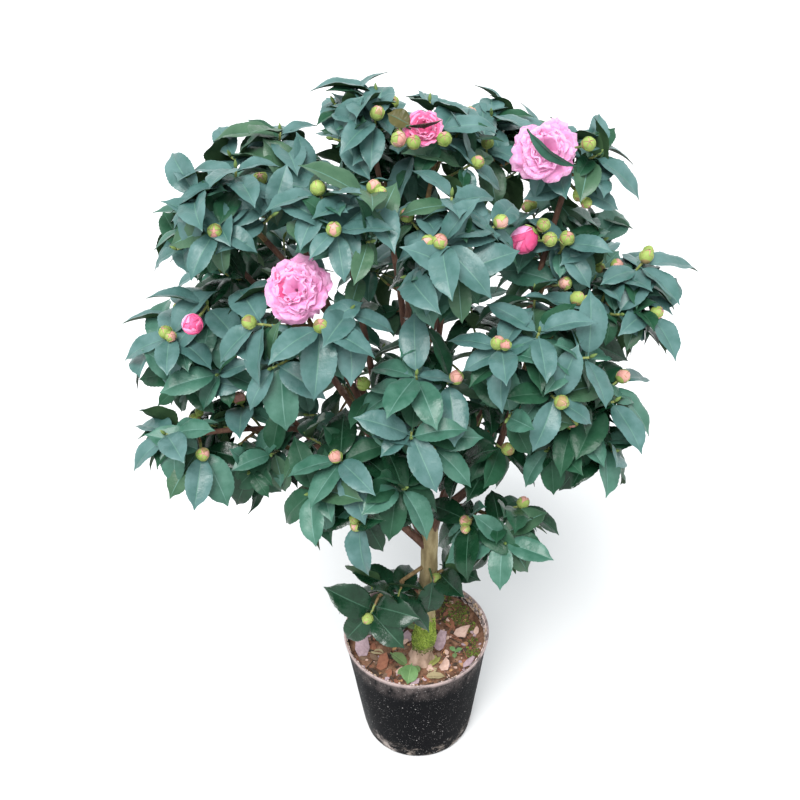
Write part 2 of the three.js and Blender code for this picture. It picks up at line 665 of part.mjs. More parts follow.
function soilGeometry() {
  const side = dishOutline(POT_WALL + GAP, SOIL_LEVEL);
  const edge = side.at(-1).x;
  const middle = (edge + TRUNK_SEAT_RADIUS) / 2;
  const top = [middle, TRUNK_SEAT_RADIUS, 0].map((radius) => new THREE.Vector2(radius, SOIL_LEVEL));
  const geometry = lathe([...side, ...top]);
  const position = geometry.getAttribute("position");
  for (let i = 0; i < position.count; i++) {
    if (position.getZ(i) < SOIL_LEVEL - 1) continue;
    const radius = Math.hypot(position.getX(i), position.getY(i));
    const turn = Math.atan2(position.getY(i), position.getX(i));
    position.setZ(i, position.getZ(i) + soilSwell(radius, turn));
  }
  return geometryOf(solidOf(geometry));
}

// The whole plant: limbs from the trunk outwards, then the masses that they carry
const shrub = new THREE.Group();

function addPart(name, geometry, looks) {
  const material = new THREE.MeshStandardMaterial({ metalness: 0, flatShading: true, ...looks });
  const mesh = new THREE.Mesh(geometry, material);
  mesh.name = name;
  shrub.add(mesh);
}

const BLACK_PLASTIC = { color: 0x24262a, roughness: 0.65 };
const POTTING_SOIL = { color: 0x5b4535, roughness: 0.95 };
const TRUNK_BARK = { color: 0x8f8160, roughness: 0.9 };
const YOUNG_BARK = { color: 0x6b4a38, roughness: 0.85 };
const FOLIAGE = { color: 0x2f5c48, roughness: 0.45 };

const masses = MASSES.map((row) => ({ ...row, centre: vector(row.centre) }));
for (const mass of masses) mass.walls = wallsOf(mass, masses);
for (const bloom of BLOOMS) {
  bloom.middle = vector(bloom.middle);
  bloom.outlook = vector(bloom.outlook).normalize();
}

const trunkLine = trunkStations();
const limbs = [{ name: "trunk", stations: trunkLine, grown: trunkSolid(trunkLine, GAP) }];
addPart("pot", potGeometry(), BLACK_PLASTIC);
addPart("soil", soilGeometry(), POTTING_SOIL);
addPart("trunk", geometryOf(trunkSolid(trunkLine)), TRUNK_BARK);

for (const mass of masses) {
  const parent = limbs.find((limb) => limb.name === mass.from);
  mass.limb = parent;
  if (mass.onTrunk) continue;
  const stations = boughStations(mass, parent.stations);
  const bough = mainBody(cutByLimbs(limbSolid(stations, BOUGH_SIDES)));
  mass.limb = { name: mass.name, stations, grown: limbSolid(stations, BOUGH_SIDES, GAP) };
  addPart("bough_" + mass.name, geometryOf(bough), YOUNG_BARK);
  limbs.push(mass.limb);
}
for (const mass of masses) addPart("foliage_" + mass.name, geometryOf(massSolid(mass)), FOLIAGE);

export default shrub;
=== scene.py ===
"""Looks of the potted camellia shrub: bark, twigs, leaves, buds, blossoms, soil and pot.

The plant is worked out in millimetres by the same seeded rule as its solids, and each mesh is
turned into metres when it is made. +Z is up, and the camera looks from the plant's front, -Y.
"""

import math
from functools import lru_cache

import bpy
import numpy as np
from mathutils import Matrix, Vector, noise


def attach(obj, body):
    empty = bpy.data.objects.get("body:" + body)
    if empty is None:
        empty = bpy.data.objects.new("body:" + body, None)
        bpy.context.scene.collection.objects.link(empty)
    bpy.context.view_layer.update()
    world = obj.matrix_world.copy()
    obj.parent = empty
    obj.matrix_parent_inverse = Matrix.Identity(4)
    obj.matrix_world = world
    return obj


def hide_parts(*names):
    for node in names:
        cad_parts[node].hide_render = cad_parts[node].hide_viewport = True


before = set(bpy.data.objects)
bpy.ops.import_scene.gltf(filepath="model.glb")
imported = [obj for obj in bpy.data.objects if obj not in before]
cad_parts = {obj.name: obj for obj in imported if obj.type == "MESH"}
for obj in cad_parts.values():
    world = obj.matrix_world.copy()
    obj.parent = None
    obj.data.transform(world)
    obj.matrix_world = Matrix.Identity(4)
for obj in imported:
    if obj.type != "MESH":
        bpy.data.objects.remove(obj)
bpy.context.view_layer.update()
MM = 0.001
FULL_TURN = 2 * math.pi
GOLDEN_TURN = math.pi * (3 - math.sqrt(5))
UP = np.array((0.0, 0.0, 1.0))

# The rule's values in mm and degrees, as in the solids but for finer leaves and more buds
SOIL_LEVEL = 186
GAP = 0.3
TRUNK_STEPS = 2
ROOT_LOBES = 5
ROOT_LOBE_DEPTH = 0.14
ROOT_FLARE_HEIGHT = 26
BOUGH_STEPS = 3
BOUGH_TIP_RADIUS = 3.6
BOW_PLACE = 0.45
ENTRY_SHARE = 0.6
ENTRY_STEP = 5
ENTRY_LEAST = 20
ENTRY_ROOM = 4
STEM_TIP_RADIUS = 3.2
TWIGS_SPREAD = 0.75
TWIG_ROOM = 3.4
TWIG_BARK_GAP = 1.5
TWIG_LOOKS = 8
SHOOT_ROOM = 62
SHOOT_TURN = 0.35
SHOOT_SHORTEST = 0.82
SHOOT_STEP = 8
SHOOT_LEAST = 15
SHOOT_MARGIN = 12
FACE_OUT = 0.75
FACE_UP = 0.5
FACE_SWAY = (0.25, 0.25, 0.2)
LEAF_LENGTH = 80
LEAF_LENGTHS = (0.78, 1.08)
LEAF_BENDS = (0.3, 0.7)
LEAF_WIDTH_SHARE = 0.46
LEAF_MARGIN = 1
LEAF_BASE_FULLNESS = 0.8
LEAF_FOLD = 0.22
LEAF_FALL = 0.35
LEAF_DRAW_IN = 0.1
LEAF_LOOKS = (0.12, 0.27, 0.42, 0.57, 0.72, 0.86, 1)
LEAF_BARK_GAP = 3
LEAVES_IN_ROSETTE = 7
SMALLER_TRIES = (1, 0.84, 0.7)
FIRST_LEAN = 58
LEAN_RANGE = 38
LEAN_SWAY = 9
TURN_SWAY = 0.25
LEAF_SAG = 0.18
FIRST_ROOT = 2
LEAF_SPACING = 3
BLADE_FACES = 0.6
BLADE_UP = 0.75
BLADE_SWAY = 0.3
BLOOM_BACK = 0.75
BLOOM_OUTLOOK = 160
BUD_RADIUS = 9.5
BUD_SHARE = 0.42
CROWN_HEART = np.array((8.0, 0.0, 700.0))
FRONT = np.array((0.0, -0.8, 0.6))

# The trunk's line from the soil to its fork: x, y, z and the radius there
TRUNK_KNOTS = np.array((
    (6, -40, SOIL_LEVEL + GAP, 20.5), (7, -40, 200, 16.5), (9, -40, 216, 16), (11, -40, 236, 18.5),
    (13, -40, 256, 15.5), (15, -40, 318, 13.5), (20, -40, 400, 12.5), (22, -38, 476, 11.5),
))

# Finer leaves along each twig behind its rosette, and gaps in the crown that they leave open:
# how far across and up each lies, as the camera sees it on the plane y = 0, and its radius
CAMERA_AT = np.array((-16.5, -1306.0, 1643.6))
INNER_LEAVES = 3
INNER_PLACES = (0.3, 0.85)
INNER_LENGTHS = (0.6, 0.82)
INNER_LEANS = (45, 80)
SKY_GAPS = (
    (66, 726, 20), (-143, 627, 17), (-23, 860, 13), (130, 1003, 11), (-230, 1011, 10),
    (-291, 607, 12), (69, 506, 12), (-107, 891, 10), (43, 599, 10), (-72, 984, 8),
)

# Name, centre, reach, shoots, spread, seed, then the limb that it grows from: its name, the
# share along it, the bow and the radius there. The two pot sprays grow from the trunk itself.
MASSES = (
    ("right_low", (200, -130, 740), 131, 8, 115, 247, "trunk", 1, 0.03, 8),
    ("heart", (5, -130, 775), 141, 7, 95, 247, "trunk", 0.97, 0.04, 7),
    ("back_top", (-30, 130, 950), 142, 7, 110, 923, "trunk", 0.98, 0.02, 8),
    ("left_mid", (-120, -135, 885), 134, 7, 95, 839, "trunk", 0.95, 0.08, 7.5),
    ("left_low", (-215, -55, 665), 130, 8, 110, 843, "trunk", 0.9, 0.1, 7),
    ("right_centre_low", (85, -75, 670), 127, 6, 100, 572, "trunk", 0.93, 0.1, 5),
    ("back_low_left", (-95, 125, 595), 149, 6, 110, 9, "trunk", 0.88, 0.08, 6),
    ("back_low_right", (115, 120, 660), 146, 6, 110, 482, "trunk", 0.91, 0.08, 6.5),
    ("mid_low", (-70, -140, 670), 146, 8, 105, 900, "heart", 0.3, 0.02, 4.5),
    ("right_mid", (140, -140, 825), 147, 8, 95, 750, "right_low", 0.55, 0.05, 5.5),
    ("right_low_spray", (105, -125, 560), 104, 4, 120, 276, "right_low", 0.15, 0.1, 4),
    ("middle_right", (45, -100, 960), 128, 7, 100, 785, "heart", 0.55, 0.04, 5),
    ("middle", (-75, -115, 995), 116, 6, 100, 790, "left_mid", 0.5, 0.06, 5),
    ("right_upper", (180, -15, 895), 135, 7, 105, 878, "right_low", 0.4, 0.06, 5.5),
    ("right_outer", (250, -50, 855), 125, 6, 110, 166, "right_low", 0.75, 0.06, 4.5),
    ("top_right", (115, 135, 960), 133, 6, 105, 477, "back_top", 0.45, 0.04, 5),
    ("top_right_tip", (190, -30, 1020), 103, 6, 110, 933, "right_upper", 0.6, 0.05, 4),
    ("top_mid", (35, 40, 1005), 131, 6, 100, 507, "back_top", 0.65, 0.05, 4.5),
    ("top_left_mid", (-45, 45, 1035), 119, 7, 105, 628, "back_top", 0.8, 0.08, 4),
    ("top_left", (-165, 40, 975), 137, 7, 105, 398, "left_mid", 0.6, 0.06, 5),
    ("top_left_outer", (-205, -50, 990), 122, 7, 115, 125, "top_left", 0.5, 0.05, 4),
    ("left_outer", (-260, -25, 785), 141, 8, 115, 555, "left_low", 0.5, 0.05, 4.5),
    ("left_low_spray", (-280, -120, 710), 107, 3, 105, 82, "left_outer", 0.5, 0.05, 4),
    ("back_left", (-205, 160, 775), 140, 7, 110, 75, "back_low_left", 0.5, 0.06, 5),
    ("left_upper", (-245, 15, 910), 116, 6, 110, 200, "back_left", 0.5, 0.06, 4.5),
    ("back_right", (205, 115, 745), 145, 7, 110, 352, "back_low_right", 0.5, 0.06, 5),
    ("back_mid", (-5, 205, 740), 138, 7, 110, 765, "back_top", 0.3, 0.04, 5),
    ("pot_spray_left", (-55, -80, 370), 94, 3, 110, 892, "trunk", 0.85, 0, 3.5),
    ("pot_spray_right", (40, -45, 385), 72, 3, 80, 324, "trunk", 0.8, 0, 3.5),
)
ON_TRUNK = ("pot_spray_left", "pot_spray_right")


# The growth rule


def unit(v):
    return v / np.linalg.norm(v)


def between(a, b, share):
    return a * (1 - share) + b * share


def straight(a, b, count):
    """Places in even steps on the straight line between two places."""
    return between(a, b, np.linspace(0, 1, count)[:, None])


def on_bezier(curve, share):
    start, bend, end = curve
    return between(between(start, bend, share), between(bend, end, share), share)


def square_to(way, v):
    """The way nearest to v that is square to another way."""
    return unit(v - way * (v @ way))


def side_of(axis):
    side = np.cross(axis, UP)
    if np.linalg.norm(side) < 0.05:
        side = np.cross(axis, (1.0, 0.0, 0.0))
    return unit(side)


def leaning(axis, lean, turn):
    """A way that leans from an axis by an angle, turned round it."""
    side = side_of(axis)
    other = np.cross(axis, side)
    out = side * math.cos(turn) + other * math.sin(turn)
    return axis * math.cos(lean) + out * math.sin(lean)


def draws(seed):
    """A repeatable stream of numbers, each drawn between a low and a high."""
    state = seed

    def draw(low, high):
        nonlocal state
        state = (1664525 * state + 1013904223) % 4294967296
        return low + (high - low) * state / 4294967296

    for _ in range(3):
        draw(0, 1)
    return draw


class Bloom:
    """A blossom. It faces its outlook, which leaves keep clear of, or else points its own way."""

    def __init__(self, middle, radius, outlook, petals, colour, way=None):
        self.middle, self.radius = np.array(middle, float), radius
        self.outlook = unit(np.array(outlook, float))
        self.axis = unit(np.array(way, float)) if way else self.outlook
        self.petals, self.colour = petals, colour
        self.full = petals > 20
        self.tall = 1.16 if way else 1.02

    def by(self, place):
        """A place by the blossom from its distances across, up and out of its face, in radii."""
        across = -side_of(self.outlook)
        face = np.stack((across, np.cross(self.outlook, across), self.outlook), 1)
        return self.middle + face @ np.array(place) * self.radius

    def hidden_by(self, places):
        away = places - self.middle
        ahead = away @ self.outlook
        beside = np.sqrt(np.maximum(0, (away**2).sum(1) - ahead**2))
        level = (ahead > -BLOOM_BACK * self.radius) & (ahead < BLOOM_OUTLOOK)
        return (level & (beside < self.radius)).any()


BLOOMS = (
    Bloom((-130, -150, 936), 39, (-0.15, -0.8, 0.58), 60, "pink"),
    Bloom((153, -70, 1061), 38, (-0.05, -0.85, 0.52), 56, "pink"),
    Bloom((19, -20, 1069), 24, (0, -0.75, 0.66), 34, "hot"),
    Bloom((135, -60, 942), 16, (0, -0.85, 0.52), 14, "hot", (-0.7, -0.55, -0.42)),
    Bloom((-260, -110, 868), 13, (0.1, -0.85, 0.52), 12, "hot"),
)


class Leaf:
    """A leaf: its root, the way that it grows, the way that its face looks, and its size."""

    def __init__(self, root, way, normal, length, bend, phase=0, twist=0, wide=1):
        self.root, self.way, self.normal = root, way, normal
        self.length, self.bend = length, bend
        self.phase, self.twist, self.wide = phase, twist, wide

    def places(self):
        """Places along its two edges and its midrib, where its room is looked at."""
        along = np.repeat(LEAF_LOOKS, 3)[:, None]
        across = np.tile((-1, 0, 1), len(LEAF_LOOKS))[:, None]
        length, bend, normal = self.length, self.bend, self.normal
        half = np.sin(math.pi * along**LEAF_BASE_FULLNESS) * length * LEAF_WIDTH_SHARE / 2
        places = self.root + self.way * length * along * (1 - LEAF_DRAW_IN * bend * along)
        places = places - normal * LEAF_FALL * bend * along**2 * length
        side = np.cross(normal, self.way)
        return places + side * across * half + normal * LEAF_FOLD * np.abs(across) * half


class Shoot:
    """A shoot: where its twig starts, its tip, the way that its rosette faces, and its leaves."""

    def __init__(self, start, tip, face, seed):
        self.start, self.tip, self.face, self.seed = start, tip, face, seed
        self.leaves, self.inner = [], []

    def has_bud(self):
        return draws(self.seed + 1)(0, 1) < BUD_SHARE

    def normal_of(self, way, sway=0):
        """The way that the face of a leaf looks, which grows on this shoot."""
        return square_to(way, self.face * BLADE_FACES + UP * BLADE_UP + sway)

    def rosette(self):
        """The leaves at its tip, from the youngest down its twig."""
        back = unit(self.start - self.tip)
        draw = draws(self.seed)
        spin = draw(0, FULL_TURN)
        for i in range(LEAVES_IN_ROSETTE):
            rank = i / (LEAVES_IN_ROSETTE - 1)
            lean = math.radians(FIRST_LEAN + LEAN_RANGE * rank + draw(-LEAN_SWAY, LEAN_SWAY))
            turn = spin + i * GOLDEN_TURN + draw(-TURN_SWAY, TURN_SWAY)
            way = unit(leaning(self.face, lean, turn) - UP * LEAF_SAG)
            root = self.tip + back * (FIRST_ROOT + LEAF_SPACING * i)
            length = LEAF_LENGTH * draw(*LEAF_LENGTHS)
            sway = np.array((draw(-BLADE_SWAY, BLADE_SWAY), draw(-BLADE_SWAY, BLADE_SWAY), 0))
            yield Leaf(root, way, self.normal_of(way, sway), length, draw(*LEAF_BENDS))

    def inner_leaves(self):
        """Smaller leaves along its twig behind its rosette, which fill the crown's inside."""
        draw = draws(self.seed + 9)
        along = unit(self.tip - self.start)
        spin = draw(0, FULL_TURN)
        for i in range(INNER_LEAVES):
            share = between(*INNER_PLACES, (i + draw(0, 1)) / INNER_LEAVES)
            lean = math.radians(draw(*INNER_LEANS))
            way = unit(leaning(along, lean, spin + i * GOLDEN_TURN) - UP * LEAF_SAG)
            root = between(self.start, self.tip, share)
            length = LEAF_LENGTH * draw(*INNER_LENGTHS)
            yield Leaf(root, way, self.normal_of(way), length, draw(*LEAF_BENDS))


class Mass:
    """A mass of foliage, which keeps to its own space."""

    def __init__(self, row):
        names = ("name", "centre", "reach", "shoots", "spread", "seed", "source", "at", "bow", "thick")
        for name, value in zip(names, row):
            setattr(self, name, value)
        self.centre = np.array(self.centre, float)
        self.on_trunk = self.name in ON_TRUNK

    def part_from(self, masses):
        """The planes that part this mass's space from its neighbours'."""
        walls = []
        for other in masses:
            apart = np.linalg.norm(other.centre - self.centre)
            if other is self or apart > self.reach + other.reach:
                continue
            normal = (other.centre - self.centre) / apart
            along = (apart**2 + self.reach**2 - other.reach**2) / (2 * apart)
            walls.append((*normal, normal @ self.centre + along))
        walls = np.array(walls)
        self.wall_ways, self.wall_ats = walls[:, :3], walls[:, 3]

    def holds(self, points, margin):
        """Whether all points lie in this mass's space, a margin clear of its borders."""
        points = np.atleast_2d(points)
        far = np.linalg.norm(points - self.centre, axis=1)
        inside = (points @ self.wall_ways.T <= self.wall_ats - margin).all()
        return far.max() <= self.reach - margin and inside

    def new_shoots(self):
        """Its shoots, spread evenly over the side that faces out of the crown."""
        outward = unit(self.centre - CROWN_HEART)
        draw = draws(self.seed)
        spin = draw(0, FULL_TURN)
        edge = math.cos(math.radians(self.spread))
        for i in range(self.shoots):
            lean = math.acos(1 - (i + 0.5) / self.shoots * (1 - edge))
            way = leaning(outward, lean, spin + i * GOLDEN_TURN + draw(-SHOOT_TURN, SHOOT_TURN))
            far = (self.reach - SHOOT_ROOM) * draw(SHOOT_SHORTEST, 1)
            while far > SHOOT_LEAST and not self.holds(self.centre + way * far, SHOOT_MARGIN):
                far -= SHOOT_STEP
            sway = np.array([draw(-s, s) for s in FACE_SWAY])
            face = unit(way * FACE_OUT + UP * FACE_UP + sway)
            start = between(self.stem_start, self.centre, 1 - TWIGS_SPREAD * i / self.shoots)
            seed = self.seed * 977 + i * 131 + 7
            yield Shoot(start, self.centre + way * far, face, seed)


class Bark:
    """All limbs as straight pieces that taper, to tell how clear places are of them."""

    def __init__(self):
        self.rows = []

    def add(self, points, radii):
        for i in range(1, len(points)):
            self.rows.append((*points[i - 1], *points[i], radii[i - 1], radii[i]))
        rows = np.array(self.rows)
        self.start, self.way = rows[:, :3], rows[:, 3:6] - rows[:, :3]
        self.low, self.high = rows[:, 6], rows[:, 7]
        self.run = (self.way**2).sum(1)

    def clear(self, places):
        away = places[:, None, :] - self.start[None]
        share = np.clip((away * self.way).sum(2) / self.run, 0, 1)
        distance = np.linalg.norm(away - share[..., None] * self.way, axis=2)
        return (distance - between(self.low, self.high, share)).min()


def catmull(points, share):
    """A place on the curve through points, at a share of its run."""
    step = share * (len(points) - 1)
    low = min(int(step), len(points) - 2)
    t = step - low
    p1, p2 = points[low], points[low + 1]
    p0 = points[low - 1] if low > 0 else 2 * p1 - p2
    p3 = points[low + 2] if low + 2 < len(points) else 2 * p2 - p1
    t0, t1 = (p2 - p0) / 2, (p3 - p1) / 2
    c2 = -3 * p1 + 3 * p2 - 2 * t0 - t1
    c3 = 2 * p1 - 2 * p2 + t0 + t1
    return p1 + t0 * t + c2 * t**2 + c3 * t**3


def trunk_stations():
    """The trunk's line and radii in the straight pieces of its solid."""
    count = (len(TRUNK_KNOTS) - 1) * TRUNK_STEPS
    points = np.array([catmull(TRUNK_KNOTS[:, :3], i / count) for i in range(count + 1)])
    knots = np.linspace(0, 1, len(TRUNK_KNOTS))
    return points, np.interp(np.linspace(0, 1, count + 1), knots, TRUNK_KNOTS[:, 3])


def place_on(points, share):
    step = share * (len(points) - 1)
    low = min(int(step), len(points) - 2)
    return between(points[low], points[low + 1], step - low)


def bough_curve(mass, parent):
    """The three points that steer a bough's curve from its parent to where it enters its mass."""
    start = place_on(parent, mass.at)
    span = np.linalg.norm(mass.centre - start)
    bend = between(start, mass.centre, BOW_PLACE) + UP * mass.bow * span
    inward = unit(mass.centre - bend)
    depth = ENTRY_SHARE * mass.reach
    while depth > ENTRY_LEAST and not mass.holds(mass.centre - inward * depth, ENTRY_ROOM):
        depth -= ENTRY_STEP
    return start, bend, mass.centre - inward * depth


def fits(places, mass, bark, margin, bark_gap):
    if not mass.holds(places, margin) or any(bloom.hidden_by(places) for bloom in BLOOMS):
        return False
    return bark.clear(places) > bark_gap


def finds_room(leaf, mass, bark):
    """Whether a leaf fits as it is or a little smaller, which it then becomes."""
    full = leaf.length
    for share in SMALLER_TRIES:
        leaf.length = full * share
        if fits(leaf.places(), mass, bark, LEAF_MARGIN, LEAF_BARK_GAP):
            return True
    return False


def hides_bud(leaf, shoots):
    """Whether a leaf of a low spray hangs before the flower bud of another shoot."""
    for shoot in shoots:
        if shoot.has_bud() and leaf not in shoot.leaves:
            away = leaf.places() - shoot.tip - shoot.face * BUD_RADIUS
            ahead = away @ FRONT
            beside = np.linalg.norm(away - ahead[:, None] * FRONT, axis=1)
            if ((ahead > 0) & (beside < 2 * BUD_RADIUS)).any():
                return True
    return False


def hides_sky(leaf):
    """Whether a leaf would close a gap of the crown, as the camera sees it."""
    places = leaf.places()
    share = CAMERA_AT[1] / (CAMERA_AT[1] - places[:, 1])
    seen = CAMERA_AT + (places - CAMERA_AT) * share[:, None]
    return any((np.hypot(seen[:, 0] - x, seen[:, 2] - z) < radius).any() for x, z, radius in SKY_GAPS)


def grow():
    """The whole plant: its limbs, then each mass's stem, its twigs that fit, and their leaves."""
    masses = [Mass(row) for row in MASSES]
    for mass in masses:
        mass.part_from(masses)
    trunk, trunk_radii = trunk_stations()
    lines = {"trunk": trunk}
    bark = Bark()
    bark.add(trunk, trunk_radii)
    shares = np.linspace(0, 1, BOUGH_STEPS + 1)
    for mass in masses:
        parent = lines[mass.source]
        if mass.on_trunk:
            mass.stem_start = place_on(parent, mass.at)
            continue
        mass.curve = bough_curve(mass, parent)
        points = on_bezier(mass.curve, shares[:, None])
        lines[mass.name] = points
        bark.add(points, between(mass.thick, BOUGH_TIP_RADIUS, shares))
        mass.stem_start = points[-1]
    for mass in masses:
        mass.grown = []
        for shoot in mass.new_shoots():
            looks = straight(shoot.start, shoot.tip, TWIG_LOOKS + 1)[1:]
            if fits(looks, mass, bark, TWIG_ROOM, TWIG_BARK_GAP):
                mass.grown.append(shoot)
                shoot.leaves = [leaf for leaf in shoot.rosette() if finds_room(leaf, mass, bark)]
        for shoot in mass.grown:
            if mass.on_trunk:
                shoot.leaves = [leaf for leaf in shoot.leaves if not hides_bud(leaf, mass.grown)]
            else:
                inner = (leaf for leaf in shoot.inner_leaves() if finds_room(leaf, mass, bark))
                shoot.inner = [leaf for leaf in inner if not hides_sky(leaf)]
    return masses


MASS_LIST = grow()
SHOOTS = [shoot for mass in MASS_LIST for shoot in mass.grown]


# Materials


class Stuff:
    """A new material. Its methods add nodes and hand on their outputs."""

    def __init__(self, name):
        self.material = bpy.data.materials.new(name)
        self.material.use_nodes = True
        self.tree = self.material.node_tree
        self.shader = self.tree.nodes["Principled BSDF"]

    def feed(self, node, inputs):
        """Gives inputs of a node their values, which are numbers, colours or outputs of nodes."""
        for name, value in inputs.items():
            if isinstance(value, bpy.types.NodeSocket):
                self.tree.links.new(value, node.inputs[name])
            else:
                node.inputs[name].default_value = value

    def look(self, **inputs):
        """Values for the material's shader, with underscores for the spaces in their names."""
        self.feed(self.shader, {name.replace("_", " "): value for name, value in inputs.items()})

    def node(self, kind, inputs, **settings):
        """A new node with its settings, and values for its inputs."""
        node = self.tree.nodes.new("ShaderNode" + kind)
        for name, value in settings.items():
            setattr(node, name, value)
        self.feed(node, inputs)
        return node

    def place(self):
        return self.node("TexCoord", {}).outputs["Object"]

    def noise(self, scale, detail, stretch=(1, 1, 1), rough=0.55):
        """A cloudy noise, drawn out along an axis where its stretch is below 1."""
        moved = self.node("Mapping", {"Vector": self.place(), "Scale": stretch}).outputs["Vector"]
        inputs = {"Vector": moved, "Scale": scale, "Detail": detail, "Roughness": rough}
        return self.node("TexNoise", inputs).outputs["Fac"]

    def ramp(self, source, stops):
        ramp = self.node("ValToRGB", {"Fac": source})
        elements = ramp.color_ramp.elements
        while len(elements) < len(stops):
            elements.new(0.5)
        for element, (place, colour) in zip(elements, stops):
            element.position = place
            element.color = (*colour, 1)
        return ramp.outputs["Color"]

    def bump(self, source, strength, distance, before=None):
        inputs = {"Height": source, "Strength": strength, "Distance": distance}
        if before:
            inputs["Normal"] = before
        return self.node("Bump", inputs).outputs["Normal"]

    def spread(self, source, low, high, to_low, to_high):
        """A range of values spread over another range, and cut off at its ends."""
        inputs = {"Value": source, "From Min": low, "From Max": high, "To Min": to_low, "To Max": to_high}
        return self.node("MapRange", inputs).outputs["Result"]

    def times(self, a, b):
        return self.node("Math", {0: a, 1: b}, operation="MULTIPLY").outputs["Value"]

    def mix(self, factor, *colours):
        """Two colours, or outputs of nodes, mixed by a factor."""
        a, b = ((*c, 1) if isinstance(c, tuple) else c for c in colours)
        return self.node("Mix", {0: factor, 6: a, 7: b}, data_type="RGBA").outputs[2]


def leaf_material(name, dark, light, rough=(0.3, 0.46), specular=0.11, subsurface_and_painted_glow=0.0):
    """A leathery leaf: its green varies a little, and fine grain breaks its gloss."""
    stuff = Stuff(name)
    broad = stuff.noise(45, 3)
    netted = stuff.bump(stuff.noise(210, 2), 0.4, 0.0011)
    stuff.look(
        Base_Color=stuff.ramp(broad, ((0.3, dark), (0.72, light))),
        Roughness=stuff.spread(broad, 0.3, 0.7, *rough),
        Normal=stuff.bump(stuff.noise(700, 3), 0.25, 0.0006, netted),
        Specular_IOR_Level=specular,
        Subsurface_Weight=subsurface_and_painted_glow,
        Subsurface_Scale=0.006,
        Subsurface_Radius=(1, 0.75, 0.9),
        # Materials that scatter light under their surface also give off a little of their light colour: a
        # painted glow that lifts their shade
        Emission_Color=(*light, 1),
        Emission_Strength=0.4 * subsurface_and_painted_glow,
    )
    return stuff.material


def leaf_materials(kind, rows):
    """Leaf materials whose names begin alike."""
    return [leaf_material(kind + name, *looks) for name, *looks in rows]


def rough_material(name, stops, scale, rough, bump=0.4, depth=0.001, stretch=(1, 1, 1)):
    """Bark, soil or moss, whose colour and relief follow one noise."""
    stuff = Stuff(name)
    texture = stuff.noise(scale, 6, stretch, 0.65)
    stuff.look(
        Base_Color=stuff.ramp(texture, stops),
        Roughness=rough,
        Specular_IOR_Level=0.2,
        Normal=stuff.bump(texture, bump, depth),
    )
    return stuff.material


def rough_materials(rows, *rest):
    """Rough materials that differ only in their names and in their dark and light colours."""
    return [rough_material(name, ((0.3, dark), (0.7, light)), *rest) for name, dark, light in rows]


# Greens of the leaves as painted light and shade: a lit blue green, whose blue is a painted sheen of the
# sky, a mid green, a shaded deep green, a shaded dark glossy green for the leaves low on the plant, and
# olive ones; then their underside, their midribs on lit and on shaded leaves, and a bronze leaf
LEAF_SLOTS = leaf_materials("leaf_", (
    ("lit_blue_green", (0.027, 0.074, 0.065), (0.06, 0.118, 0.114), (0.3, 0.42), 0.22),
    ("mid_green", (0.019, 0.067, 0.044), (0.047, 0.113, 0.085), (0.28, 0.4), 0.2),
    ("shaded_deep_green", (0.007, 0.034, 0.016), (0.018, 0.058, 0.033), (0.28, 0.42)),
    ("shaded_dark_gloss", (0.002, 0.016, 0.006), (0.007, 0.032, 0.015), (0.2, 0.32), 0.25),
    ("olive_green", (0.02, 0.055, 0.028), (0.04, 0.086, 0.048), (0.32, 0.44), 0.2),
    ("underside", (0.022, 0.052, 0.022), (0.04, 0.078, 0.034), (0.5, 0.62), 0.06),
    ("midrib", (0.054, 0.118, 0.09), (0.086, 0.162, 0.138), (0.4, 0.5)),
    ("midrib_shaded", (0.02, 0.058, 0.035), (0.036, 0.082, 0.053), (0.35, 0.45)),
    ("bronze", (0.036, 0.038, 0.012), (0.07, 0.056, 0.02), (0.3, 0.42)),
))
LIT_BLUE_GREEN, MID_GREEN, SHADED_DEEP_GREEN, SHADED_DARK_GLOSS, OLIVE_GREEN, UNDER, RIB, RIB_SHADED, BRONZE = range(9)
# Each leaf tone's midrib: the shaded tones take the shaded midrib, which is painted shade
RIBS = (RIB, RIB, RIB_SHADED, RIB_SHADED, RIB)


# Meshes


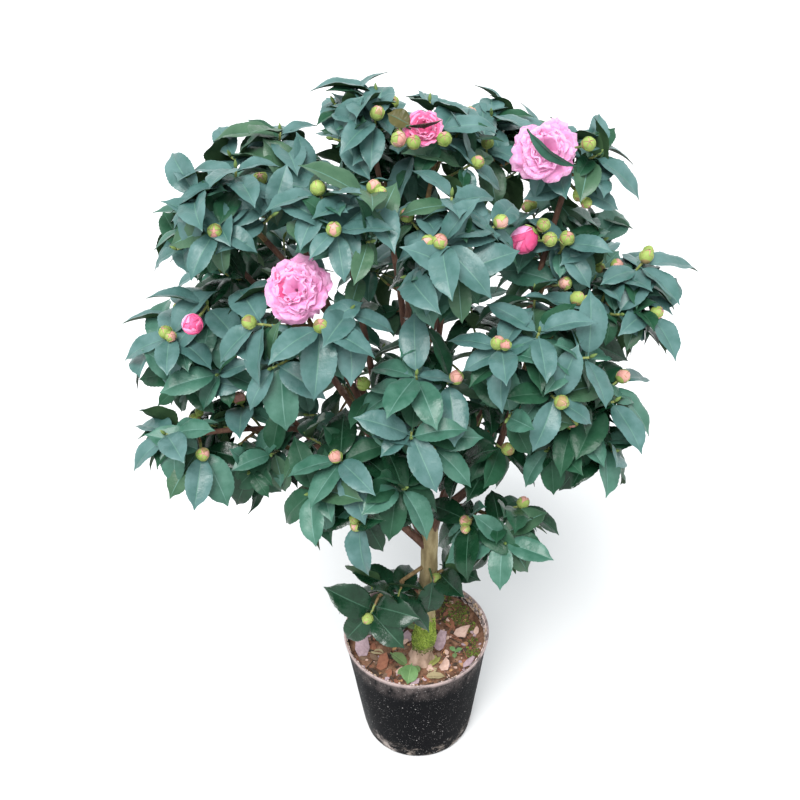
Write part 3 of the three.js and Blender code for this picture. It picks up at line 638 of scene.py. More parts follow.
class Build:
    """Collects points in mm and faces of many small forms that are joined in one piece."""

    def __init__(self):
        self.points, self.faces, self.slots = [], {}, {}
        self.count = 0

    def add(self, points, *parts):
        """A form's points, and its faces in arrays with one material number or one for each."""
        self.points.append(np.reshape(points, (-1, 3)))
        for faces, slots in parts:
            corners = faces.shape[1]
            self.faces.setdefault(corners, []).append(faces + self.count)
            self.slots.setdefault(corners, []).append(np.broadcast_to(slots, len(faces)))
        self.count += len(self.points[-1])

    def add_rings(self, places, slots, end_slot=None):
        """A closed form through rings of points, with flat ends."""
        quads, ends = tube_faces(*places.shape[:2])
        self.add(places, (quads, slots), (ends, slots if end_slot is None else end_slot))

    def add_stalk(self, line, thick, sides, slots, end_slot=None):
        """A smooth stalk along a line, from its first radius to its last."""
        self.add_rings(tube(line, np.linspace(*thick, len(line)), sides), slots, end_slot)

    def add_sheet(self, sheet, seat, slots, turned=False):
        """A thin closed sheet from its two grids of points, set on a seat: its axes and middle."""
        faces, _ = sheet_faces(*sheet[0].shape[:2])
        axes, middle = seat
        points = np.stack(sheet).reshape(-1, 3) @ axes.T + middle
        self.add(points, (faces[:, ::-1] if turned else faces, slots))

    def piece(self, name, materials, sharp=None):
        sizes = sorted(self.faces)
        faces = [np.concatenate(self.faces[size]) for size in sizes]
        slots = np.concatenate([slots for size in sizes for slots in self.slots[size]])
        corners = np.repeat(sizes, [len(f) for f in faces])
        points = np.concatenate(self.points).astype(np.float32) * MM
        mesh = bpy.data.meshes.new(name)
        mesh.vertices.add(len(points))
        mesh.vertices.foreach_set("co", points.ravel())
        mesh.loops.add(int(corners.sum()))
        mesh.loops.foreach_set("vertex_index", np.concatenate([f.ravel() for f in faces]).astype(np.int32))
        mesh.polygons.add(len(corners))
        mesh.polygons.foreach_set("loop_start", (np.cumsum(corners) - corners).astype(np.int32))
        for material in materials:
            mesh.materials.append(material)
        mesh.polygons.foreach_set("material_index", slots.astype(np.int32))
        mesh.update(calc_edges=True)
        mesh.validate()
        mesh.polygons.foreach_set("use_smooth", np.ones(len(mesh.polygons), bool))
        if sharp:
            mesh.set_sharp_from_angle(angle=math.radians(sharp))
        mesh.update()
        piece = bpy.data.objects.new(name, mesh)
        bpy.context.scene.collection.objects.link(piece)
        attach(piece, "root")
        return piece


@lru_cache
def tube_faces(rings, sides):
    """Faces between rings that have the same number of points, as quads, and the two ends."""
    ring, i = np.meshgrid(np.arange(rings - 1), np.arange(sides), indexing="ij")
    ring, i = ring.ravel(), i.ravel()
    following = (i + 1) % sides
    low, high = ring * sides, (ring + 1) * sides
    quads = np.stack((low + i, low + following, high + following, high + i), 1)
    last = (rings - 1) * sides
    ends = np.array((np.arange(sides)[::-1], last + np.arange(sides)))
    return quads, ends


@lru_cache
def sheet_faces(rows, columns):
    """Faces of a thin closed sheet: its outside grid, its inside grid and the rim between them."""
    row, column = np.meshgrid(np.arange(rows - 1), np.arange(columns - 1), indexing="ij")
    a = (row * columns + column).ravel()
    top = np.stack((a, a + 1, a + columns + 1, a + columns), 1)
    inner = rows * columns
    first, last = np.arange(columns), (rows - 1) * columns + np.arange(columns)[::-1]
    left, right = np.arange(rows)[::-1] * columns, np.arange(rows) * columns + columns - 1
    loop = np.concatenate((first[:-1], right[:-1], last[:-1], left[:-1]))
    following = np.roll(loop, -1)
    edge = np.stack((following, loop, loop + inner, following + inner), 1)
    return np.concatenate((top, top[:, ::-1] + inner, edge)), len(top)


def circle(sides, shift=0.0):
    """Ways in even turns round a circle."""
    turns = np.arange(sides) * FULL_TURN / sides + shift
    return np.stack((np.cos(turns), np.sin(turns)), 1)


def noise_at(*place):
    """A smooth noise between about -1 and 1, whose lumps are about 1 wide."""
    return noise.noise(Vector(place))


def frames_along(points):
    """Two ways square to a line at each of its points, that turn as little as they can."""
    ways = np.gradient(points, axis=0)
    ways = ways / np.linalg.norm(ways, axis=1)[:, None]
    side = side_of(ways[0])
    sides = []
    for way in ways:
        side = square_to(way, side)
        sides.append(side)
    sides = np.array(sides)
    return sides, np.cross(ways, sides)


def tube(points, radii, sides, relief=None):
    """Rings round a line. relief(places) gives how far each point stands out."""
    across, other = frames_along(points)
    ring = circle(sides)
    outs = across[:, None] * ring[:, :1] + other[:, None] * ring[:, 1:]
    places = points[:, None] + outs * np.asarray(radii)[:, None, None]
    return places + outs * relief(places)[..., None] if relief else places


# Leaves

STATIONS = 27
PETIOLE_SHARE = 0.08
PETIOLE_HALF = 0.9
TIP_HALF = 0.3
TOOTH = 0.02
TEETH_PLACES = (0.15, 0.96)
RIB_HALF = 0.036
QUARTER = 0.55
COLUMNS = np.array((-1, -QUARTER, -RIB_HALF, RIB_HALF, QUARTER, 1, 0))
RIB_COLUMN = 2
UNDER_COLUMN = 5
FOLD_SWAY = 0.15
VEINS = 7.5
VEIN_SLANT = 0.22
VEIN_RELIEF = 0.22
EDGE_WAVES = 2.2
EDGE_WAVE = 0.07
LEAF_CREASE = 70


def leaf_half_width(share):
    """Half the blade's width as a share of its widest: round at its base, drawn out at its tip."""
    u = np.clip((share - PETIOLE_SHARE) / (1 - PETIOLE_SHARE), 0, 1)
    base, tip = 0.62, 0.74
    peak = base / (base + tip)
    full = u**base * (1 - u) ** tip / (peak**base * (1 - peak) ** tip)
    return full * (1 - 0.58 * np.exp(-(((u - 0.95) / 0.085) ** 2)))


def blade_points(leaves, thickness):
    """All leaves at once: rings of seven points, six over the top and one under the midrib."""

    def each(name):
        return np.array([getattr(leaf, name) for leaf in leaves], float)[:, None]

    way, normal = each("way"), each("normal")
    length, bend, phase = each("length"), each("bend"), each("phase")
    s = np.linspace(0, 1, STATIONS)[None, :]
    half = leaf_half_width(s) * length * LEAF_WIDTH_SHARE / 2 * each("wide")
    toothed = (s > TEETH_PLACES[0]) & (s < TEETH_PLACES[1])
    tooth = np.where(toothed, TOOTH * (-1.0) ** np.arange(STATIONS), 0)
    blade = s > PETIOLE_SHARE
    edge = np.maximum(half * (1 + tooth), np.where(blade, TIP_HALF, PETIOLE_HALF))
    reach = length * s * (1 - LEAF_DRAW_IN * bend * s)
    fall = LEAF_FALL * bend * s**2 * length + 0.14 * bend * s**5 * length
    angle = (each("twist") * s)[..., None]
    side = np.cross(normal, way)
    turned_side = side * np.cos(angle) + normal * np.sin(angle)
    turned_normal = normal * np.cos(angle) - side * np.sin(angle)
    middle = each("root") + way * reach[..., None] - normal * fall[..., None]
    across = COLUMNS[None, None, :] * edge[..., None]
    beside = np.abs(COLUMNS)
    fold = LEAF_FOLD + 0.06 + FOLD_SWAY * np.sin(3 * phase)
    lift = fold[..., None] * np.abs(across)
    quilt = VEIN_RELIEF * np.sin(FULL_TURN * VEINS * (s[..., None] - VEIN_SLANT * beside))
    swell = quilt * np.minimum(1, half / 9)[..., None] + 0.15 * half[..., None]
    lift = lift + np.where(beside == QUARTER, swell, 0)
    wave = EDGE_WAVE * half * np.sin(FULL_TURN * EDGE_WAVES * s + phase)
    lift = lift + beside * wave[..., None]
    depth = np.where(blade, thickness * (1.3 - 0.5 * s), 1.5)
    lift[..., -1] = -depth * np.ones_like(length)
    points = middle[:, :, None] + turned_side[:, :, None] * across[..., None]
    return points + turned_normal[:, :, None] * lift[..., None]


def add_blades(build, leaves, tones, under, ribs, thickness=0.9):
    """Leaves with a tone each, and material numbers for their undersides and midribs."""
    count, sides = len(leaves), len(COLUMNS)
    quads, ends = tube_faces(STATIONS, sides)
    offsets = np.arange(count)[:, None, None] * STATIONS * sides
    column = np.tile(np.arange(sides), STATIONS - 1)
    ring = np.repeat(np.arange(STATIONS - 1), sides)
    ribs = np.broadcast_to(ribs, count)[:, None]
    slots = np.where(column == RIB_COLUMN, ribs, np.asarray(tones)[:, None])
    slots = np.where(column >= UNDER_COLUMN, under, slots)
    slots = np.where(ring == 0, ribs, slots)
    quads = (quads[None, :, ::-1] + offsets).reshape(-1, 4)
    ends = (ends[None, :, ::-1] + offsets).reshape(-1, sides)
    points = blade_points(leaves, thickness)
    build.add(points, (quads, slots.ravel()), (ends, np.repeat(ribs[:, 0], 2)))


def leaves_piece(name, leaves, tones):
    build = Build()
    add_blades(build, leaves, tones, UNDER, [RIBS[tone] for tone in tones])
    return build.piece(name, LEAF_SLOTS, LEAF_CREASE)


LEAF_GROUPS = {"leaves_left": (-2000, -60), "leaves_middle": (-60, 100), "leaves_right": (100, 2000)}
LIGHT_WAY = unit(np.array((-0.15, -0.5, 0.85)))
SHADE_WIDTH, SHADE_NEAR, SHADE_FAR = 36, 12, 190
LOW_SPRAYS_TOP = 480
OLIVE_SHARE = 0.09
TONE_BORDERS = (0.5, 0.18, -0.08)
TONE_HEIGHT, TONE_RISE, TONE_REACH = 620, 450, 330
TONE_SWAY = 0.32
LEAF_TWIST = 0.3


def shade_leaves():
    """Counts the other leaves that stand between each leaf and the light."""
    leaves = [leaf for shoot in SHOOTS for leaf in shoot.leaves]
    middles = np.array([leaf.root + leaf.way * leaf.length * 0.55 for leaf in leaves])
    away = middles[None] - middles[:, None]
    ahead = away @ LIGHT_WAY
    beside = np.linalg.norm(away - ahead[..., None] * LIGHT_WAY, axis=2)
    shades = ((ahead > SHADE_NEAR) & (ahead < SHADE_FAR) & (beside < SHADE_WIDTH)).sum(1)
    for leaf, shade in zip(leaves, shades):
        leaf.shade = shade


def tone_of(shoot, leaf, draw):
    """Leaves high and in the light take the lit blue green; low ones and those shaded by other leaves take
    darker greens: painted shade.
    """
    height = (shoot.tip[2] - TONE_HEIGHT) / TONE_RISE
    out = np.linalg.norm((shoot.tip - CROWN_HEART) * (1, 1, 0.7)) / TONE_REACH
    light = 0.86 * height + 0.25 * out + 0.16 - 0.11 * leaf.shade + draw(-TONE_SWAY, TONE_SWAY)
    # The low sprays under the crown take the shaded dark glossy green: painted shade
    if shoot.tip[2] < LOW_SPRAYS_TOP:
        return SHADED_DARK_GLOSS
    if draw(0, 1) < OLIVE_SHARE:
        return OLIVE_GREEN
    # Each step down from the lit blue green paints more shade
    return LIT_BLUE_GREEN + sum(light <= border for border in TONE_BORDERS)


def outer_leaves_pieces():
    """The leaves of all rosettes, in three pieces from left to right."""
    shade_leaves()
    for group, (low, high) in LEAF_GROUPS.items():
        members = [mass for mass in MASS_LIST if low <= mass.centre[0] < high]
        leaves, tones = [], []
        for mass in members:
            for shoot in mass.grown:
                draw = draws(shoot.seed + 5)
                for leaf in shoot.leaves:
                    leaf.phase, leaf.twist = draw(0, FULL_TURN), draw(-LEAF_TWIST, LEAF_TWIST)
                    leaf.wide = 1.22 if mass.on_trunk else draw(0.9, 1.1)
                    leaves.append(leaf)
                    tones.append(tone_of(shoot, leaf, draw))
        piece = leaves_piece(group, leaves, tones)
        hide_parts(*("foliage_" + mass.name for mass in members))


def inner_leaves_piece():
    """The leaves inside the crown, in darker greens that paint the shade there."""
    leaves, tones = [], []
    for shoot in SHOOTS:
        draw = draws(shoot.seed + 13)
        for leaf in shoot.inner:
            leaf.phase, leaf.twist = draw(0, FULL_TURN), draw(-LEAF_TWIST, LEAF_TWIST)
            leaf.wide = draw(0.9, 1.15)
            leaves.append(leaf)
            tones.append(MID_GREEN if draw(0, 1) < 0.3 else SHADED_DEEP_GREEN)
    piece = leaves_piece("inner_leaves", leaves, tones)


outer_leaves_pieces()
inner_leaves_piece()


# Trunk, boughs and twigs

TRUNK_RINGS, TRUNK_SIDES = 100, 40
MOSS_MIDDLE, MOSS_SPREAD, MOSS_BORDER = 252, 34, 0.45
FOOT_TOP, FOOT_SWAY = 222, 14
BOUGH_SIDES = 12
STEM_RINGS, STEM_SIDES = 7, 9
TWIG_RINGS, TWIG_SIDES = 8, 7
TWIG_RADII = (2.2, 1.45)
TWIG_KINK, TWIG_SAG = 0.014, 0.025
BLOSSOM_STALK_RADII = (1.7, 2.6)

# How far the ridges of bark stand out in mm, and how fine they are
TRUNK_RELIEF, BOUGH_RELIEF, STEM_RELIEF = (1.6, 0.16), (0.55, 0.3), (0.3, 0.4)

TRUNK_MATERIALS = [rough_material("trunk_" + name, *looks) for name, *looks in (
    ("bark", ((0.28, (0.085, 0.06, 0.028)), (0.5, (0.21, 0.165, 0.085)), (0.72, (0.34, 0.285, 0.165))),
     60, 0.88, 0.55, 0.0016, (1, 1, 0.3)),
    ("moss", ((0.3, (0.05, 0.07, 0.01)), (0.5, (0.11, 0.155, 0.02)), (0.72, (0.2, 0.26, 0.045))),
     120, 0.95, 0.8, 0.002),
    ("foot_bark", ((0.3, (0.13, 0.085, 0.055)), (0.5, (0.27, 0.185, 0.135)), (0.72, (0.4, 0.29, 0.23))),
     60, 0.9, 0.55, 0.0016, (1, 1, 0.4)),
)]
BOUGH_BARK = rough_material(
    "bough_bark",
    ((0.3, (0.03, 0.014, 0.01)), (0.55, (0.085, 0.042, 0.028)), (0.8, (0.18, 0.105, 0.07))),
    90, 0.7, 0.35, 0.0008, (1, 1, 0.35),
)
TWIG_BARK = rough_material(
    "twig_bark", ((0.3, (0.085, 0.05, 0.024)), (0.7, (0.19, 0.13, 0.055))), 140, 0.66, 0.3, 0.0004
)
TWIG_GREEN = rough_material(
    "twig_green", ((0.3, (0.1, 0.13, 0.035)), (0.7, (0.2, 0.22, 0.07))), 160, 0.55, 0.2, 0.0003
)


def bark_relief(depth, grain):
    """Ridges that run along a limb, with knots and hollows."""

    def height(place):
        ridge = noise_at(*(place * grain * (1, 1, 0.18)))
        knot = noise_at(*(place * 0.035 + (7, 3, 1)))
        return depth * (0.65 * ridge + 0.5 * knot)

    return lambda places: np.apply_along_axis(height, -1, places)


def moss_cover(place):
    """How thick the moss is on the trunk: most on its collar, with ragged borders."""
    ragged = 0.45 * noise_at(*(place * 0.06)) + 0.4 * noise_at(*(place * 0.2))
    return 1.15 - abs(place[2] - MOSS_MIDDLE) / MOSS_SPREAD + ragged


def trunk_piece():
    """The trunk with its root flare, its mossy collar and the redder bark of its foot."""
    shares = np.linspace(0, 1, TRUNK_RINGS)
    knots = np.array([catmull(TRUNK_KNOTS, share) for share in shares])
    points, radii = knots[:, :3], knots[:, 3] * (1 - 0.3 * np.clip((shares - 0.95) / 0.05, 0, 1) ** 2)
    rise = points[:, 2] - points[0, 2]
    lobes = ROOT_LOBE_DEPTH * np.maximum(0, 1 - rise / ROOT_FLARE_HEIGHT)
    turns = np.arange(TRUNK_SIDES) * FULL_TURN / TRUNK_SIDES
    swell = 1 + lobes[:, None] * np.cos(ROOT_LOBES * turns)
    outs = np.pad(circle(TRUNK_SIDES), ((0, 0), (0, 1)))
    places = points[:, None] + outs * (radii[:, None] * swell)[..., None]
    places = places + outs * bark_relief(*TRUNK_RELIEF)(places)[..., None]
    quads, _ = tube_faces(TRUNK_RINGS, TRUNK_SIDES)
    firsts = places.reshape(-1, 3)[quads[:, 0]]
    mossy = np.array([moss_cover(first) for first in firsts]) > MOSS_BORDER
    foot = np.array([first[2] + FOOT_SWAY * noise_at(*(first * 0.1)) < FOOT_TOP for first in firsts])
    build = Build()
    build.add_rings(places, np.where(mossy, 1, np.where(foot, 2, 0)), 0)
    piece = build.piece("trunk_bark", TRUNK_MATERIALS)
    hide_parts("trunk")


def boughs_piece():
    """The boughs, each a little thicker where it leaves its parent."""
    build = Build()
    relief = bark_relief(*BOUGH_RELIEF)
    names = []
    for mass in MASS_LIST:
        if mass.on_trunk:
            continue
        names.append("bough_" + mass.name)
        span = np.linalg.norm(mass.curve[2] - mass.curve[0])
        shares = np.linspace(0, 1, int(max(10, span / 8)))
        radii = between(mass.thick, BOUGH_TIP_RADIUS, shares) * 0.95
        radii *= 1 + 0.25 * np.exp(-shares * span / 9)
        build.add_rings(tube(on_bezier(mass.curve, shares[:, None]), radii, BOUGH_SIDES, relief), 0)
    piece = build.piece("boughs_bark", [BOUGH_BARK])
    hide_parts(*names)


def twig_line(start, tip, draw):
    """A twig's line: nearly straight, with a little kink at each node."""
    way = unit(tip - start)
    side = side_of(way)
    other = np.cross(way, side)
    span = np.linalg.norm(tip - start)
    line = straight(start, tip, TWIG_RINGS)
    for i, share in enumerate(np.linspace(0, 1, TWIG_RINGS)):
        bow = span * math.sin(math.pi * share)
        kink = TWIG_KINK * bow * (-1) ** i
        line[i] += side * kink * draw(0.3, 1) + other * kink * draw(-0.6, 0.6) - UP * TWIG_SAG * bow
    return line


def add_blossom_stalks(build, places):
    """A stalk to the back of each blossom, from the nearest place on a twig behind it."""
    rings = 9
    for bloom in BLOOMS:
        back = bloom.middle - bloom.axis * bloom.radius * (0.4 if bloom.full else 0.95)
        behind = places[(places - back) @ bloom.axis < -4]
        start = behind[np.argmin(np.linalg.norm(behind - back, axis=1))]
        bow = np.sin(math.pi * np.linspace(0, 1, rings))[:, None] * np.linalg.norm(back - start) * 0.25
        line = straight(start, back, rings) - bloom.axis * bow
        build.add_stalk(line, BLOSSOM_STALK_RADII, TWIG_SIDES, 1)


def twigs_piece():
    """Each mass's stem and its twigs, which turn from bark to green halfway."""
    build = Build()
    places = []
    quads = (TWIG_RINGS - 1) * TWIG_SIDES
    green = np.arange(quads) >= quads // 2
    for mass in MASS_LIST:
        draw = draws(mass.seed + 3)
        first = 3.5 if mass.on_trunk else BOUGH_TIP_RADIUS
        radii = np.linspace(first * 0.95, STEM_TIP_RADIUS * 0.8, STEM_RINGS)
        stem = straight(mass.stem_start, mass.centre, STEM_RINGS)
        build.add_rings(tube(stem, radii, STEM_SIDES, bark_relief(*STEM_RELIEF)), 0)
        for shoot in mass.grown:
            line = twig_line(shoot.start, shoot.tip, draw)
            places.append(line)
            build.add_stalk(line, TWIG_RADII, TWIG_SIDES, green, 0)
    add_blossom_stalks(build, np.concatenate(places))
    piece = build.piece("twigs", [TWIG_BARK, TWIG_GREEN])


trunk_piece()
boughs_piece()
twigs_piece()


# Buds and blossoms

BUD_GREEN, BUD_TAN, BUD_PINK, LEAF_BUD_GREEN = leaf_materials("", (
    ("bud_scale_green", (0.14, 0.2, 0.045), (0.25, 0.31, 0.09), (0.42, 0.55)),
    ("bud_scale_tan", (0.15, 0.11, 0.05), (0.26, 0.19, 0.085), (0.5, 0.6)),
    ("bud_petal_pink", (0.34, 0.145, 0.125), (0.44, 0.27, 0.22), (0.42, 0.55)),
    ("leaf_bud_green", (0.06, 0.1, 0.03), (0.12, 0.17, 0.05), (0.42, 0.55)),
))
# Petal materials: pink and its pale edge, which on one petal of each half-open blossom is a painted
# highlight, and hot pink and its edge. Their glow is painted light that lifts the shade between the
# petals.
PETALS = leaf_materials("petal_", (
    ("pink", (0.44, 0.143, 0.287), (0.535, 0.2, 0.365), (0.6, 0.72), 0.1, 0.5),
    ("pale_edge_and_highlight", (0.48, 0.19, 0.35), (0.57, 0.257, 0.42), (0.6, 0.72), 0.1, 0.5),
    ("hot_pink", (0.41, 0.04, 0.12), (0.51, 0.095, 0.205), (0.5, 0.62), 0.12, 0.3),
    ("hot_edge", (0.5, 0.12, 0.245), (0.585, 0.225, 0.35), (0.5, 0.62), 0.12, 0.3),
))
PINK, PINK_EDGE_AND_HIGHLIGHT, HOT, HOT_EDGE, CUP_GREEN = range(5)
SCALE_ROWS, SCALE_COLUMNS = 6, 5
PETAL_ROWS, PETAL_COLUMNS = 8, 8
BUD_CREASE = 50
BUD_RINGS, BUD_SIDES, BUD_CORE, BUD_TALL = 8, 10, 0.92, 1.08
BALL_RINGS, BALL_SIDES, BALL_CORE = 10, 14, 0.84
SCALE_TALL, SCALE_THIN = 1.1, 0.93
TAN_SHARE, HOT_SHARE = 0.1, 0.06
LEAF_BUD_LENGTH, LEAF_BUD_RADIUS = 11, 2.3

# How far short of a bud's tip its inmost scales end in radians, at the least and at the most, for
# buds at the tips of twigs, those beside them and those by the blossoms. Below 0 they reach over.
OPENNESS, SIDE_OPENNESS, CLOSED = (-0.42, 0.0), (-0.42, -0.1), (-0.42, -0.3)

# The whorls of scales on a bud, and of petals on a half-open blossom from its cup inwards: how
# many, half their width round the axis, from where to where they reach in radians from its back,
# how far out they lie, and for the blossom the materials that they take in turn
BUD_WHORLS = ((3, 1.02, 0.35, 1.55, 1.0), (4, 0.86, 0.7, 2.1, 0.98), (5, 0.7, 1.0, 2.75, 0.955))
# In a half-open blossom one petal of the second whorl takes the pale pink edge's material: a painted
# highlight
BLOOM_WHORLS = (
    (5, 0.6, 0.2, 0.95, 1.02, (CUP_GREEN,)), (3, 1.25, 0.3, 2.25, 0.99, (HOT, PINK_EDGE_AND_HIGHLIGHT, HOT)),
    (4, 1.0, 0.6, 2.6, 0.95, (HOT, HOT_EDGE, HOT)), (5, 0.75, 1.1, 2.95, 0.9, (HOT_EDGE, HOT, HOT_EDGE)),
)


def seat_on(middle, axis):
    """Axes whose third is the way given, and the place that they meet at."""
    side = side_of(axis)
    return np.stack((side, np.cross(axis, side), axis), 1), middle


def add_core(build, seat, radius, tall, rings, sides):
    """The ball inside a bud or a half-open blossom."""
    polar = np.linspace(math.pi, 0.05, rings)[:, None, None]
    flat = np.sin(polar) * circle(sides)
    upright = np.broadcast_to(tall * np.cos(polar), (rings, sides, 1))
    axes, middle = seat
    build.add_rings(np.concatenate((flat, upright), 2) * radius @ axes.T + middle, 2)


def scale_sheet(turn, half_width, low, high, radius, tall, lift):
    """A bud scale: a patch that hugs the bud from near its base, with a rounded tip."""
    share = np.array((0, 0.3, 0.56, 0.78, 0.93, 1))[:, None]
    across = np.linspace(-1, 1, SCALE_COLUMNS)[None]
    polar = math.pi - (low + (high - low) * share)
    spread = turn + half_width * np.sqrt(np.clip(1 - share**2.6, 0.01, 1)) * across
    size = radius * (lift + 0.05 * share**2)
    flat = size * np.sin(polar)
    upright = size * tall * np.cos(polar) * np.ones_like(across)
    outer = np.stack((flat * np.cos(spread), flat * np.sin(spread), upright), -1)
    return outer, outer * SCALE_THIN


def add_bud(build, middle, axis, radius, draw, openness, blush):
    """A round bud wrapped in overlapping scales; its topmost ones blush, or its petals show."""
    seat = seat_on(middle, axis)
    first = draw(0, FULL_TURN)
    add_core(build, seat, radius * BUD_CORE, BUD_TALL, BUD_RINGS, BUD_SIDES)
    tips = slice((SCALE_ROWS - 2) * (SCALE_COLUMNS - 1), (SCALE_ROWS - 1) * (SCALE_COLUMNS - 1))
    for whorl, (count, width, low, high, lift) in enumerate(BUD_WHORLS):
        inmost = whorl == len(BUD_WHORLS) - 1
        top = high - openness if inmost else high
        for k in range(count):
            turn = first + FULL_TURN * k / count + whorl * 0.7
            sheet = scale_sheet(turn, width, low, top * draw(0.95, 1.04), radius, SCALE_TALL, lift)
            tan = draw(0, 1) < TAN_SHARE
            blushes = whorl > 0 and k < blush + whorl - 2
            slots = np.full(len(sheet_faces(SCALE_ROWS, SCALE_COLUMNS)[0]), 2 if blushes else int(tan))
            slots[tips] = 1
            build.add_sheet(sheet, seat, slots, turned=True)


def buds_piece():
    """A flower bud, at times with one beside it, or else a leaf bud at the tip of each shoot."""
    build = Build()
    small = Build()
    for shoot in SHOOTS:
        tip, face = shoot.tip, shoot.face
        if not shoot.has_bud():
            radii = LEAF_BUD_RADIUS * np.sin(math.pi * np.linspace(0.2, 0.97, 6))
            small.add_rings(tube(straight(tip, tip + face * LEAF_BUD_LENGTH, 6), radii, 7), 0)
            continue
        draw = draws(shoot.seed + 2)
        radius = BUD_RADIUS * draw(0.84, 1.0)
        blush = int(draw(0, 3.9))
        add_bud(build, tip + face * radius * 0.95, face, radius, draw, draw(*OPENNESS), blush)
        first = draw(0, 6)
        for k in range(int(draw(0, 1.5) ** 1.6)):
            way = leaning(face, math.radians(draw(58, 72)), first + k * 2.3)
            smaller = radius * draw(0.7, 0.88)
            place = tip + way * (radius + smaller) * 0.9 + face * radius * 0.55
            axis = unit(way + face * 0.9)
            build.add_stalk(straight(tip, place - axis * smaller * 0.8, 5), (1.5, 1.5), 6, 0)
            add_bud(build, place, axis, smaller, draw, draw(*SIDE_OPENNESS), int(draw(0, 3)))
    piece = build.piece("flower_buds", [BUD_GREEN, BUD_TAN, BUD_PINK], BUD_CREASE)
    piece = small.piece("leaf_buds", [LEAF_BUD_GREEN])


def petal_sheet(turn, opening, length, width, cup, ruffle, phase, base):
    """A petal that rises from the blossom's axis, opens outwards and ruffles at its edge."""
    u = np.linspace(0, 1, PETAL_ROWS)[:, None]
    v = np.linspace(-1, 1, PETAL_COLUMNS)[None]
    lean = opening * (0.45 + 0.65 * u)
    step = length / (PETAL_ROWS - 1)
    out = base + np.cumsum(np.sin(lean) * step)[:, None] - np.sin(lean) * step
    high = np.cumsum(np.cos(lean) * step)[:, None] - np.cos(lean) * step
    half = width / 2 * np.sin(math.pi * (0.12 + 0.72 * u)) ** 0.7
    notch = 1 - 0.16 * u**3 * (v**2 + 0.5 * np.exp(-((v * 4) ** 2)))
    wave = ruffle * u**2 * np.sin(3.5 * math.pi * v / 2 + phase) * (0.3 + np.abs(v))
    inward = cup * v**2 * half
    x = out * notch - inward + wave * np.cos(lean)
    z = high * notch + inward * 0.4 - wave * np.sin(lean)
    rotate = np.array(
        ((math.cos(turn), -math.sin(turn), 0), (math.sin(turn), math.cos(turn), 0), (0, 0, 1))
    )
    outer = np.stack((x, v * half, z), -1) @ rotate.T
    normal = np.cross(np.gradient(outer, axis=0), np.gradient(outer, axis=1))
    normal /= np.linalg.norm(normal, axis=2)[..., None] + 1e-9
    return outer, outer + normal * 0.45


def add_half_open(build, bloom, draw):
    """A blossom that is still a ball of petals wrapped round one another, in its green cup."""
    seat = seat_on(bloom.middle, bloom.axis)
    add_core(build, seat, bloom.radius * BALL_CORE, bloom.tall, BALL_RINGS, BALL_SIDES)
    for count, width, low, high, lift, slots in BLOOM_WHORLS:
        first = draw(0, 6)
        for k in range(count):
            turn, top = first + FULL_TURN * k / count, high * draw(0.92, 1.03)
            sheet = scale_sheet(turn, width, low, top, bloom.radius, bloom.tall, lift)
            build.add_sheet(sheet, seat, slots[k % len(slots)], turned=True)


def add_full_bloom(build, bloom, draw):
    """A full blossom: petals in a spiral, wide open outside and upright in its middle."""
    body, edge = (PINK, PINK_EDGE_AND_HIGHLIGHT) if bloom.colour == "pink" else (HOT, HOT_EDGE)
    faces, count = sheet_faces(PETAL_ROWS, PETAL_COLUMNS)
    last = (PETAL_ROWS - 2) * (PETAL_COLUMNS - 1)
    for k in range(bloom.petals):
        share = k / (bloom.petals - 1)
        opening = math.radians(72 * (1 - share) ** 0.85 + 40) * draw(0.75, 1.15)
        length = bloom.radius * (1.12 - 0.4 * share) * draw(0.8, 1.08)
        width = length * draw(0.7, 1.05)
        turn = k * GOLDEN_TURN + draw(-0.5, 0.5)
        ruffle = bloom.radius * 0.1 * draw(0.6, 1.3)
        cup, phase = draw(-0.3, 0.4), draw(0, 6)
        sheet = petal_sheet(turn, opening, length, width, cup, ruffle, phase, bloom.radius * 0.04)
        slots = np.full(len(faces), body if draw(0, 1) > HOT_SHARE else HOT)
        slots[last:count] = edge
        slots[count + last : 2 * count] = edge
        foot = bloom.middle - bloom.axis * bloom.radius * (0.42 - 0.3 * share)
        build.add_sheet(sheet, seat_on(foot, bloom.axis), slots)


def blossoms_piece():
    build = Build()
    for number, bloom in enumerate(BLOOMS):
        add = add_full_bloom if bloom.full else add_half_open
        add(build, bloom, draws(4000 + number))
    piece = build.piece("blossoms", [*PETALS, BUD_GREEN])


# Leaves that lie against the blossoms: which one, how far across and up its face and out of it
# its root is in radii, the way that it takes there, its length, its width against a common
# leaf's, its bend, how far its blade is rolled in degrees from lying flat on the face, and its
# material
LEAVES_BY_BLOOMS = (
    (1, (-0.58, 0.5, 0.75), (0.58, -0.81, 0.1), 72, 0.56, 0.9, 56, MID_GREEN),
    (2, (-0.6, 0.12, 0.0), (-0.86, 0.5, 0.05), 32, 1.6, 0.3, 0, BRONZE),
    (2, (-0.85, -0.1, 0.6), (1, 0.03, 0.08), 42, 0.6, 0.2, 80, SHADED_DARK_GLOSS),
)

# Buds beside the blossoms: which one, how far across and up its face and out of it, in radii,
# the bud's size against the largest, and how many of its scales blush
BUDS_BY_BLOOMS = (
    (1, (1.2, 0.12, 0.5), 0.85, 0),
    (2, (-1.22, -0.8, 0.9), 0.95, 3),
    (2, (-0.52, -1.0, 1.0), 0.85, 1),
    (2, (0.92, -0.85, 0.9), 0.88, 1),
    (3, (1.3, 1.0, 1.1), 0.86, 0),
    (3, (1.75, -0.05, 1.3), 0.9, 0),
    (3, (3.0, 0.0, 1.2), 0.92, 1),
)

